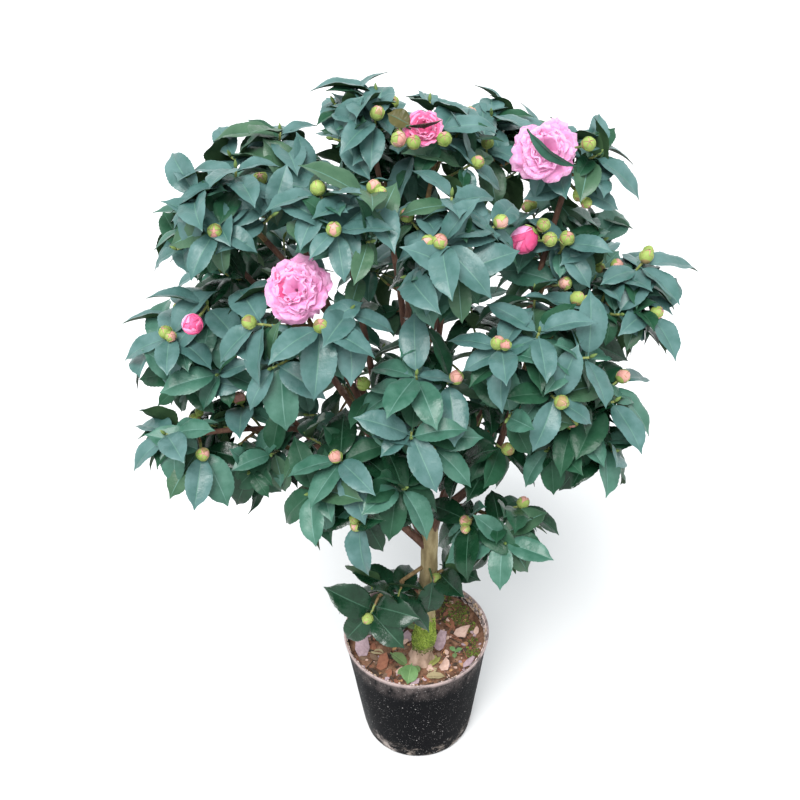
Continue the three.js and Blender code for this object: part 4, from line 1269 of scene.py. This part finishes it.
# A leaf that hangs before the trunk from the pot spray at the right: where its stalk starts on
# the trunk, its root, the ways that it grows and that its face looks, and its length
LOW_TWIG = np.array((20.0, -51.0, 396.0))
LOW_LEAF_ROOT = np.array((24.0, -70.0, 392.0))
LOW_LEAF_WAY = unit(np.array((-0.1, -0.25, -0.97)))
LOW_LEAF_FACE = np.array((0.15, -0.9, 0.4))
LOW_LEAF_LENGTH = 68


def stalk_behind(bloom, root):
    """A stalk's bent line from a place beside a blossom to its back."""
    behind = bloom.by((0, 0, -0.8))
    outside = between(root, behind, 0.5) + (root - bloom.middle) * 0.35
    return on_bezier((root, outside, behind), np.linspace(0, 1, 8)[:, None])


def bloom_buds_piece():
    """The round buds that crowd beside the blossoms."""
    build = Build()
    draw = draws(311)
    for number, place, share, blush in BUDS_BY_BLOOMS:
        bloom = BLOOMS[number]
        middle = bloom.by(place)
        axis = unit(bloom.outlook * bloom.radius + UP * 6)
        radius = BUD_RADIUS * share
        build.add_stalk(stalk_behind(bloom, middle - axis * radius * 0.7), (1.5, 1.7), 6, 3)
        add_bud(build, middle, axis, radius, draw, draw(*CLOSED), blush)
    materials = [BUD_GREEN, BUD_TAN, BUD_PINK, LEAF_BUD_GREEN]
    piece = build.piece("buds_by_blossoms", materials, BUD_CREASE)


def bloom_leaves_piece():
    """The few leaves that cross a blossom, on stalks from behind it, and one before the trunk."""
    build = Build()
    leaves, tones = [], []
    for number, place, way, length, wide, bend, roll, tone in LEAVES_BY_BLOOMS:
        bloom = BLOOMS[number]
        root = bloom.by(place)
        way = unit(bloom.by(way) - bloom.middle)
        flat = square_to(way, bloom.outlook)
        roll = math.radians(roll)
        normal = flat * math.cos(roll) + np.cross(way, flat) * math.sin(roll)
        leaves.append(Leaf(root, way, normal, length, bend, 1.0, 0.2, wide))
        tones.append(tone)
        build.add_stalk(stalk_behind(bloom, root), (1.1, 1.5), 6, UNDER)
    normal = square_to(LOW_LEAF_WAY, LOW_LEAF_FACE)
    leaves.append(Leaf(LOW_LEAF_ROOT, LOW_LEAF_WAY, normal, LOW_LEAF_LENGTH, 0.4, 2.0, 0.1, 1.25))
    tones.append(SHADED_DARK_GLOSS)
    build.add_stalk(straight(LOW_LEAF_ROOT, LOW_TWIG, 6), (1.1, 1.6), 6, UNDER)
    add_blades(build, leaves, tones, UNDER, RIB_SHADED)
    piece = build.piece("leaves_by_blossoms", LEAF_SLOTS, LEAF_CREASE)


buds_piece()
blossoms_piece()
bloom_buds_piece()
bloom_leaves_piece()


# Pot

POT_HEIGHT = 210
POT_RIM_RADIUS = 115
POT_BASE_RADIUS = 87.5
POT_WALL = 2
POT_FOOT_ROUNDING = 8
POT_LIP_HEIGHT = 8
POT_LIP_DEPTH = 1.5
POT_DENT = 0.35
POT_CREASE = 40
DRAIN_HOLES = 4
DRAIN_RADIUS = 6
DRAIN_CIRCLE = 60
ROUND = 120

# Pale patches on the pot's wall: the middle and the reach of each, in metres
POT_PALE_PATCHES = (
    ((0.094, -0.013, 0.052), 0.016), ((0.088, -0.026, 0.028), 0.018),
    ((-0.05, -0.078, 0.01), 0.022), ((-0.066, -0.062, 0.03), 0.014), ((0.07, -0.056, 0.008), 0.02),
)


def pot_radius(height, inward=0):
    rise = (POT_RIM_RADIUS - POT_LIP_DEPTH - POT_BASE_RADIUS) / POT_HEIGHT
    return POT_BASE_RADIUS + rise * height - inward


def dish_outline(inward, top):
    """The edge of a round dish from its floor up, a distance in from the pot's outside."""
    rounding = POT_FOOT_ROUNDING - inward
    turns = np.linspace(-math.pi / 2, 0, 6)
    radii = POT_BASE_RADIUS - POT_FOOT_ROUNDING + rounding * np.cos(turns)
    foot = np.stack((radii, POT_FOOT_ROUNDING + rounding * np.sin(turns)), 1)
    heights = np.linspace(POT_FOOT_ROUNDING, top, 15)[1:]
    wall = np.stack((pot_radius(heights, inward), heights), 1)
    return np.concatenate((foot, wall))


def lathe(profile):
    """Rings of points round the upright axis from a profile of radii and heights."""
    heights = np.repeat(profile[:, 1:, None], ROUND, 1)
    return np.concatenate((profile[:, :1, None] * circle(ROUND), heights), 2)


def cut_holes(piece):
    """Cuts the drainage holes through the pot's floor."""
    for x, y in circle(DRAIN_HOLES, math.pi / DRAIN_HOLES) * DRAIN_CIRCLE * MM:
        bpy.ops.mesh.primitive_cylinder_add(
            vertices=24, radius=DRAIN_RADIUS * MM, depth=12 * MM, location=(x, y, 0)
        )
        cutter = bpy.context.object
        cut = piece.modifiers.new("drain", "BOOLEAN")
        cut.object, cut.operation, cut.solver = cutter, "DIFFERENCE", "EXACT"
        bpy.context.view_layer.objects.active = piece
        bpy.ops.object.modifier_apply(modifier="drain")
        bpy.data.objects.remove(cutter)


def pot_material():
    """Moulded black plastic with dust in patches, splashes low down and a crust along its rim."""
    stuff = Stuff("pot_plastic")
    streaks = stuff.noise(16, 6, (1, 1, 0.35), 0.62)
    coarse = stuff.noise(38, 8, rough=0.7)
    splashes = stuff.noise(48, 8, (1, 1, 1.6), 0.75)
    crusted = stuff.spread(coarse, 0.34, 0.5, 0, 1)
    wet = stuff.spread(splashes, 0.52, 0.62, 0, 1)
    patch_mask = stuff.spread(splashes, 0.45, 0.57, 0, 1)
    grains = stuff.spread(stuff.noise(75, 8, (1, 1, 0.5), 0.75), 0.38, 0.62, 0, 1)
    height = stuff.node("SeparateXYZ", {"Vector": stuff.place()}).outputs["Z"]

    def band(low, high, patches, power):
        """How strongly a level band shows, broken up by a noise."""
        level = stuff.spread(height, low, high, 0, 1)
        return stuff.spread(stuff.times(level, patches), 0, 1, 0, power)

    layers = [
        (band(0.163, 0.208, grains, 0.75), (0.13, 0.105, 0.1)),
        (band(0.199, 0.209, crusted, 0.85), (0.29, 0.225, 0.215)),
        (band(0.04, 0, wet, 1), (0.26, 0.22, 0.19)),
    ]
    # Pale patches round the places listed, broken up by a noise
    for middle, reach in POT_PALE_PATCHES:
        away = stuff.node("VectorMath", {0: stuff.place(), 1: middle}, operation="DISTANCE")
        near = stuff.spread(away.outputs["Value"], reach, reach * 0.2, 0, 0.8)
        layers.append((stuff.times(near, patch_mask), (0.42, 0.36, 0.33)))
    for scale, size in ((95, 0.12), (190, 0.13), (330, 0.15)):
        specks = stuff.node("TexVoronoi", {"Vector": stuff.place(), "Scale": scale})
        dots = stuff.spread(specks.outputs["Distance"], size, size * 0.6, 0, 0.8)
        layers.append((stuff.times(dots, grains), (0.4, 0.38, 0.37)))
    dust = stuff.spread(streaks, 0.45, 0.75, 0, 0.16)
    colour = stuff.mix(dust, (0.001, 0.0013, 0.002), (0.028, 0.026, 0.026))
    for factor, layer in layers:
        colour = stuff.mix(factor, colour, layer)
    stuff.look(
        Base_Color=colour,
        Roughness=stuff.spread(streaks, 0.35, 0.7, 0.42, 0.7),
        Specular_IOR_Level=0.03,
        Normal=stuff.bump(coarse, 0.25, 0.0012),
    )
    return stuff.material


def pot_piece():
    """The pot: its wall and floor inside and out with its lip, a little uneven, as one form."""
    lip_foot = POT_HEIGHT - POT_LIP_HEIGHT
    wall, edge = pot_radius(lip_foot), POT_RIM_RADIUS
    lip = (
        (wall + POT_LIP_DEPTH * 0.6, lip_foot + 0.4),
        (wall + POT_LIP_DEPTH, lip_foot + 1.4),
        (edge, POT_HEIGHT - 1.2),
        (edge - 0.4, POT_HEIGHT - 0.3),
        (edge - 1.1, POT_HEIGHT),
        (edge - 2.2, POT_HEIGHT - 0.1),
        (edge - 3.1, POT_HEIGHT - 0.9),
    )
    inside = dish_outline(POT_WALL, POT_HEIGHT - 3)[::-1]
    points = lathe(np.concatenate((dish_outline(0, lip_foot), lip, inside)))
    for place in points.reshape(-1, 3):
        dent = POT_DENT * noise_at(*(place * 0.012))
        place[:2] += place[:2] / (np.linalg.norm(place[:2]) + 1e-6) * dent
    build = Build()
    build.add_rings(points, 0)
    piece = build.piece("pot_shell", [pot_material()])
    cut_holes(piece)
    piece.data.set_sharp_from_angle(angle=math.radians(POT_CREASE))
    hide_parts("pot")


pot_piece()


# Soil and what lies on it

SOIL_EDGE = pot_radius(SOIL_LEVEL, POT_WALL + GAP)
TRUNK_FOOT = (6, -40)
HEAP_HEIGHT, HEAP_REACH = 4.5, 30
BANK_HEIGHT, BANK_START, BANK_TURN = 9, 70, 0.75
CHIP_COUNT, CRUMB_COUNT, STICK_COUNT, LITTER_COUNT, MOSS_COUNT = 620, 1100, 60, 18, 2300
CHIP_CREASE = 35
STICK_RADII, WEED_STALK_RADII = (1.1, 0.7), (0.9, 0.6)
LITTER_REACH, LITTER_CLEAR = 88, 32
LITTER_THICKNESS = 0.5
CRUST_TOP, CRUST_DEPTH, CRUST_TURN = 209, 19, 0.5

# The broken outline of a chip: its corners, and the width and height of each of its rings
CHIP_CORNERS = 7
CHIP_RINGS = ((0.8, -0.5), (1, -0.1), (0.97, 0.25), (0.78, 0.5))

# The chips that stand out: x, y, size, width against length, turn, tilt and material
CHIPS_SHOWN = (
    (-86, -20, 17, 0.62, 95, 55, 2), (72, 12, 14, 0.75, 20, 12, 1), (43, -56, 11, 0.85, 10, 28, 1),
    (38, -14, 16, 0.6, 75, 52, 2), (-14, 3, 11, 0.7, 120, 25, 2), (-32, 5, 11, 0.55, 30, 20, 2),
    (-25, 17, 12, 0.4, 60, 30, 2), (-36, 27, 10, 0.5, 130, 25, 1), (-27, -65, 9, 0.8, 0, 15, 1),
    (-55, -52, 13, 0.7, 60, 35, 3), (82, -50, 13, 0.4, 35, 10, 2), (-39, -18, 7, 0.8, 20, 10, 5),
    (-48, 12, 9, 0.6, 80, 30, 2), (-60, 30, 9, 0.5, 20, 20, 1), (-66, -38, 9, 0.6, 150, 20, 0),
    (-4, -88, 9, 0.6, 10, 20, 2), (-45, -70, 8, 0.7, 40, 20, 3), (54, 40, 6, 0.7, 0, 15, 1),
    (-52, -6, 8, 0.4, 100, 30, 2), (-20, -8, 9, 0.5, 10, 35, 1), (96, 10, 8, 0.5, 80, 20, 1),
    (20, 60, 8, 0.6, 30, 20, 0), (-10, 70, 8, 0.6, 100, 20, 3), (-60, 62, 9, 0.6, 60, 20, 2),
)
CHIP_COLOURS = (
    ("chip_brown", (0.07, 0.042, 0.028), (0.14, 0.09, 0.06)),
    ("chip_pink_tan", (0.3, 0.19, 0.15), (0.44, 0.31, 0.26)),
    ("chip_lilac", (0.19, 0.13, 0.145), (0.32, 0.24, 0.26)),
    ("chip_red_brown", (0.11, 0.042, 0.026), (0.2, 0.085, 0.05)),
    ("chip_dark", (0.022, 0.015, 0.011), (0.06, 0.04, 0.028)),
    ("chip_orange_tan", (0.22, 0.11, 0.05), (0.34, 0.2, 0.1)),
)
CHIP_MIXTURE = (0, 3, 4, 0, 3, 4, 5, 2, 1)

# Fallen leaves that stand out: x, y, length, turn and material
LITTER_SHOWN = ((27, -46, 36, 0.95, 1), (27, -77, 34, 0.1, 2), (-60, -60, 24, 2.4, 0), (8, 58, 30, 0.5, 2))

# The leaves of the weeds: x, y, turn, length, width, lift, how far the tip rises, and material
WEED_LEAVES = (
    (-9, -62, -105, 34, 1.75, 15, -0.25, 0), (-42, -32, -38, 36, 1.1, 8, -0.05, 2),
    (-14, -66, -160, 20, 1.3, 6, 0.2, 0), (-6, -60, -60, 18, 1.3, 6, 0.3, 2),
    (60, -30, 20, 14, 1.2, 4, 0.4, 0), (61, -29, 140, 13, 1.2, 4, 0.4, 0),
    (60, -32, 260, 14, 1.2, 4, 0.4, 2), (4, 20, 60, 22, 1.3, 8, 0.5, 0),
    (2, 18, 170, 20, 1.3, 8, 0.5, 2),
)

# Moss: the rings of a tuft, and its patches on the soil with their middle, reach and tufts
TUFT_RINGS = ((0.75, -0.4), (1, 0.4), (0.3, 1.2))
MOSS_PATCHES = (
    (64, 52, 24, 420), (84, 24, 12, 110), (44, 80, 16, 160), (86, -28, 13, 150), (90, -6, 8, 50),
)


def from_trunk(x, y):
    """How far a place on the soil is from the middle of the trunk."""
    return math.dist((x, y), TRUNK_FOOT)


def strewn(draw, reach, x=0, y=0):
    """Any place in a round patch."""
    radius, turn = reach * math.sqrt(draw(0, 1)), draw(0, FULL_TURN)
    return x + radius * math.cos(turn), y + radius * math.sin(turn)


def soil_height(x, y):
    """The soil's top: lumpy, heaped round the trunk and banked to the wall at the back right."""
    lumps = 2.6 * noise_at(x * 0.03, y * 0.03, 2) + 1.3 * noise_at(x * 0.11, y * 0.11, 5)
    heap = HEAP_HEIGHT * math.exp(-((from_trunk(x, y) / HEAP_REACH) ** 2))
    to_wall = max(0, (math.hypot(x, y) - BANK_START) / (SOIL_EDGE - BANK_START))
    bank = BANK_HEIGHT * (max(0, math.cos(math.atan2(y, x) - BANK_TURN)) * to_wall) ** 2
    return SOIL_LEVEL - 1 + lumps + heap + bank


def soil_piece():
    """The root ball, which fills the pot, with its lumpy top."""
    side = dish_outline(POT_WALL + GAP, SOIL_LEVEL - 6)
    radii = np.append(np.linspace(SOIL_EDGE - 0.3, 4, 46), 1.5)
    top = np.stack((radii, np.full(len(radii), SOIL_LEVEL)), 1)
    points = lathe(np.concatenate((side, top)))
    for place in points[len(side) :].reshape(-1, 3):
        x, y, _ = place
        place[2] = soil_height(x, y) + 0.9 * noise_at(x * 0.35, y * 0.35, 9)
    build = Build()
    build.add_rings(points, 0)
    stops = (
        (0.3, (0.02, 0.011, 0.007)), (0.46, (0.085, 0.042, 0.024)),
        (0.6, (0.16, 0.085, 0.052)), (0.75, (0.27, 0.17, 0.12)),
    )
    piece = build.piece("soil_bed", [rough_material("potting_soil", stops, 60, 0.95, 0.9, 0.003)])
    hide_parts("soil")


def chip_points(draw, size, thick, stretch=None):
    """A flat broken chip: rings of uneven corners, the middle ones widest."""
    radii = np.array([[draw(0.62, 1.2) * size] for _ in range(CHIP_CORNERS)])
    stretch = stretch or draw(0.6, 1)
    flat = circle(CHIP_CORNERS, draw(0, 1)) * radii * (1, stretch)
    rings = []
    for width, height in CHIP_RINGS:
        levels = [[(height + draw(-0.08, 0.08)) * thick] for _ in range(CHIP_CORNERS)]
        rings.append(np.concatenate((flat * width, levels), 1))
    return np.array(rings)


def set_down(form, matrix, x, y, lift):
    """Turns a form and sets it down on the soil."""
    return form @ np.array(matrix).T + (x, y, soil_height(x, y) + lift)


def add_strewn_chip(build, x, y, draw):
    """A chip that lies anyhow, larger ones more often where much litter is."""
    littered = 0.5 + 0.5 * noise_at(x * 0.02, y * 0.02, 31) + (0.25 if x < 20 else -0.2)
    size = 1.3 + (3 + 6 * littered) * draw(0, 1) ** 2.2
    slot = CHIP_MIXTURE[int(draw(0, len(CHIP_MIXTURE)))]
    form = chip_points(draw, size, size * draw(0.3, 0.6))
    tilt, turn, way = draw(0, 0.6), draw(0, 6), draw(0, FULL_TURN)
    hinge = Vector((math.cos(way), math.sin(way), 0))
    matrix = Matrix.Rotation(tilt, 3, hinge) @ Matrix.Rotation(turn, 3, "Z")
    build.add_rings(set_down(form, matrix, x, y, size * 0.12), slot)


def add_stick(build, x, y, draw):
    """A broken twig that lies on the soil."""
    way, span = draw(0, FULL_TURN), draw(6, 13)
    line = []
    for share in np.linspace(-1, 1, 6):
        px, py = x + math.cos(way) * span * share, y + math.sin(way) * span * share
        height = max(soil_height(px, py), soil_height(x, y))
        line.append((px, py, height + 1.2 + draw(-0.3, 0.3)))
    build.add_stalk(np.array(line), STICK_RADII, 6, int(draw(3, 5)))


def chips_piece():
    """Bark chips and broken twigs, thick on the ground, and the few larger ones that stand out."""
    build = Build()
    draw = draws(71)
    for x, y, size, stretch, turn, tilt, slot in CHIPS_SHOWN:
        turn, tilt = math.radians(turn), math.radians(tilt)
        form = chip_points(draw, size * 1.15, size * 0.26, stretch)
        matrix = Matrix.Rotation(turn, 3, "Z") @ Matrix.Rotation(-tilt, 3, "Y")
        build.add_rings(set_down(form, matrix, x, y, size * (0.8 * math.sin(tilt) + 0.1)), slot)
    for count, inward, clear, add in (
        (CHIP_COUNT, 6, 24, add_strewn_chip), (STICK_COUNT, 16, 30, add_stick)
    ):
        for _ in range(count):
            x, y = strewn(draw, SOIL_EDGE - inward)
            if from_trunk(x, y) >= clear:
                add(build, x, y, draw)
    materials = rough_materials(CHIP_COLOURS, 160, 0.9, 0.5, 0.0008)
    piece = build.piece("bark_chips", materials, CHIP_CREASE)


def flat_leaf(x, y, lift, turn, length, bend, draw, tip_up=0.0):
    """A leaf over the soil, with its middle at the place given."""
    way = unit(np.array((math.cos(turn), math.sin(turn), tip_up)))
    normal = square_to(way, np.array((draw(-0.25, 0.25), draw(-0.25, 0.25), 1.0)))
    root = np.array((x, y, soil_height(x, y) + lift)) - way * length / 2
    return Leaf(root, way, normal, length, bend, draw(0, 6), draw(-0.5, 0.5))


def litter_piece():
    """Fallen leaves, some still olive green, and dry brown ones."""
    draw = draws(83)
    leaves, tones = [], []
    for x, y, length, turn, tone in LITTER_SHOWN:
        leaves.append(flat_leaf(x, y, 2.2, turn, length, 0.25, draw))
        tones.append(tone)
    for _ in range(LITTER_COUNT):
        x, y = strewn(draw, LITTER_REACH)
        if from_trunk(x, y) < LITTER_CLEAR:
            continue
        leaves.append(flat_leaf(x, y, 1.6, draw(0, 6), draw(14, 34), draw(-0.3, 0.4), draw))
        tones.append(int(draw(0, 4)))
    build = Build()
    add_blades(build, leaves, tones, 4, 4, LITTER_THICKNESS)
    materials = leaf_materials("litter_", (
        ("brown", (0.06, 0.03, 0.018), (0.13, 0.07, 0.04), (0.6, 0.75)),
        ("olive", (0.12, 0.13, 0.035), (0.21, 0.21, 0.065), (0.5, 0.6)),
        ("tan", (0.17, 0.14, 0.075), (0.27, 0.22, 0.13), (0.6, 0.75)),
        ("russet", (0.1, 0.036, 0.02), (0.18, 0.075, 0.042), (0.55, 0.7)),
        ("vein", (0.09, 0.06, 0.035), (0.16, 0.11, 0.06), (0.6, 0.75)),
    ))
    piece = build.piece("fallen_leaves", materials, LEAF_CREASE)


def seedlings_piece():
    """The soft broad leaves of weeds round the trunk."""
    draw = draws(97)
    build = Build()
    leaves, tones = [], []
    for x, y, turn, length, wide, lift, rise, tone in WEED_LEAVES:
        leaf = flat_leaf(x, y, lift, math.radians(turn), length, 0.35, draw, rise)
        foot = np.array((x, y, soil_height(x, y) - 1.0))
        leaf.root, leaf.wide = foot + UP * (lift + 1), wide
        leaves.append(leaf)
        tones.append(tone)
        build.add_stalk(straight(foot, leaf.root, 5), WEED_STALK_RADII, 6, 1)
    add_blades(build, leaves, tones, 1, 1, LITTER_THICKNESS)
    materials = leaf_materials("weed_", (
        ("green", (0.055, 0.11, 0.04), (0.1, 0.18, 0.07), (0.45, 0.55)),
        ("vein", (0.1, 0.17, 0.07), (0.15, 0.23, 0.1), (0.45, 0.55)),
        ("olive", (0.06, 0.095, 0.035), (0.1, 0.145, 0.058), (0.45, 0.55)),
    ))
    piece = build.piece("weeds", materials, LEAF_CREASE)


def add_tuft(build, place, way, size, slot):
    """A small tuft of moss."""
    side = side_of(way)
    ring = circle(5) @ np.array((side, np.cross(way, side)))
    rings = np.array([ring * width + way * height for width, height in TUFT_RINGS])
    build.add_rings(place + rings * size, slot)


def moss_piece():
    """Low cushions of moss made of many small tufts, on the soil and up the trunk's foot."""
    draw = draws(61)
    build = Build()
    for x, y, spread, count in MOSS_PATCHES:
        for _ in range(count):
            px, py = strewn(draw, spread, x, y)
            if math.hypot(px, py) > SOIL_EDGE - 3:
                continue
            place = np.array((px, py, soil_height(px, py) + 0.4))
            way = unit(np.array((draw(-0.4, 0.4), draw(-0.4, 0.4), 1)))
            add_tuft(build, place, way, draw(0.7, 1.5), int(draw(0, 2)))
    for _ in range(MOSS_COUNT):
        share, turn = draw(0.26, 0.68), draw(0, FULL_TURN)
        *middle, radius = catmull(TRUNK_KNOTS, share)
        out = np.array((math.cos(turn), math.sin(turn), 0.0))
        place = middle + out * (radius + 0.2)
        if moss_cover(place) < draw(-0.3, 0.45):
            continue
        # On the trunk, tufts high on the collar take the lit moss and low ones the dark moss: painted
        # light and shade
        bright = (place[2] - MOSS_MIDDLE) / MOSS_SPREAD + draw(-0.6, 0.8)
        slot = 0 if bright < -0.7 else 1 if bright < 0 else 2
        add_tuft(build, place, unit(out + UP * 0.3), draw(0.5, 1.0), slot)
    # Dark moss, which on the trunk paints the shade low on the collar, green moss, and moss whose
    # brightness paints the light high on the collar
    materials = rough_materials((
        ("moss_dark_and_shaded", (0.035, 0.04, 0.012), (0.08, 0.085, 0.028)),
        ("moss_green", (0.06, 0.095, 0.015), (0.13, 0.18, 0.03)),
        ("moss_lit", (0.14, 0.19, 0.03), (0.26, 0.31, 0.06)),
    ), 200, 0.95)
    piece = build.piece("moss", materials)


def crust_piece():
    """A pale crust of dried crumbs along the inside of the pot's rim, thickest at the back right."""
    draw = draws(53)
    build = Build()
    for _ in range(CRUMB_COUNT):
        turn = draw(0, FULL_TURN)
        thick = 0.3 + 0.7 * max(0, math.cos(turn - CRUST_TURN))
        if draw(0, 1) > thick:
            continue
        height = CRUST_TOP - CRUST_DEPTH * draw(0, 1) ** 1.4 * thick
        size = draw(0.8, 1.7 + 2.6 * thick)
        out = np.array((math.cos(turn), math.sin(turn), 0.0))
        form = chip_points(draw, size, size * 0.6) @ np.array((np.cross(UP, out), UP, -out))
        middle = out * pot_radius(height, POT_WALL + size * 0.25) + UP * height
        build.add_rings(middle + form, int(draw(0, 3)))
    materials = rough_materials((
        ("crust_pale", (0.32, 0.24, 0.22), (0.46, 0.37, 0.34)),
        ("crust_sand", (0.26, 0.18, 0.12), (0.38, 0.28, 0.2)),
        ("crust_grey", (0.13, 0.105, 0.1), (0.24, 0.2, 0.19)),
    ), 160, 0.95)
    piece = build.piece("rim_crust", materials)


soil_piece()
chips_piece()
litter_piece()
seedlings_piece()
moss_piece()
crust_piece()


# Stage

FLOOR_REACH = 6
FLOOR_COLOUR = (0.43, 0.43, 0.43, 1)
WORLD_COLOUR, WORLD_STRENGTH = (0.94, 0.98, 1, 1), 1.7
SUN_STRENGTH, SUN_WIDTH = 6.4, 30
FILL_AT, FILL_TARGET = Vector((0.8, -2.8, 2.2)), Vector((0, 0, 0.6))
FILL_SIZE, FILL_POWER, FILL_COLOUR = 2.0, 12, (0.93, 0.98, 1)
CAMERA_LENS, SENSOR_WIDTH = 54, 36
CAMERA_PITCH, CAMERA_ROLL = 36.83, -1.49


def put(name, data):
    """A new object of the scene."""
    thing = bpy.data.objects.new(name, data)
    bpy.context.scene.collection.objects.link(thing)
    return thing


def lay_floor():
    mesh = bpy.data.meshes.new("floor")
    reach = FLOOR_REACH
    corners = [(-reach, -reach, 0), (reach, -reach, 0), (reach, reach, 0), (-reach, reach, 0)]
    mesh.from_pydata(corners, [], [(0, 1, 2, 3)])
    stuff = Stuff("pale_floor")
    stuff.look(Base_Color=FLOOR_COLOUR, Roughness=0.9)
    mesh.materials.append(stuff.material)
    floor = put("floor", mesh)


def light_up():
    """A pale sky, a wide soft sun high at the front left, and a faint fill from the front."""
    world = bpy.data.worlds.new("studio")
    bpy.context.scene.world = world
    world.use_nodes = True
    back = world.node_tree.nodes["Background"]
    back.inputs["Color"].default_value = WORLD_COLOUR
    back.inputs["Strength"].default_value = WORLD_STRENGTH
    sun = bpy.data.lights.new("soft_overhead", "SUN")
    sun.energy, sun.angle = SUN_STRENGTH, math.radians(SUN_WIDTH)
    lamp = put("soft_overhead", sun)
    lamp.rotation_euler = Vector(LIGHT_WAY).to_track_quat("Z", "Y").to_euler()
    fill = bpy.data.lights.new("front_fill", "AREA")
    fill.size, fill.energy, fill.color = FILL_SIZE, FILL_POWER, FILL_COLOUR
    lamp = put("front_fill", fill)
    lamp.location = FILL_AT
    lamp.rotation_euler = (FILL_TARGET - FILL_AT).to_track_quat("-Z", "Y").to_euler()


def place_camera():
    """The camera of the photograph, worked out from the pot in it."""
    camera = bpy.data.cameras.new("camera")
    camera.lens, camera.sensor_width = CAMERA_LENS, SENSOR_WIDTH
    eye = put("camera", camera)
    pitch, roll = math.radians(CAMERA_PITCH), math.sin(math.radians(CAMERA_ROLL))
    ahead = Vector((0, math.cos(pitch), -math.sin(pitch)))
    right, up = Vector((1, 0, 0)), Vector((0, math.sin(pitch), math.cos(pitch)))
    level = math.sqrt(1 - roll**2)
    right, up = right * level + up * roll, up * level - right * roll
    turn = Matrix((right, up, -ahead)).transposed().to_4x4()
    eye.matrix_world = Matrix.Translation(CAMERA_AT * MM) @ turn
    bpy.context.scene.camera = eye
    bpy.context.scene.view_settings.view_transform = "Standard"


lay_floor()
light_up()
place_camera()
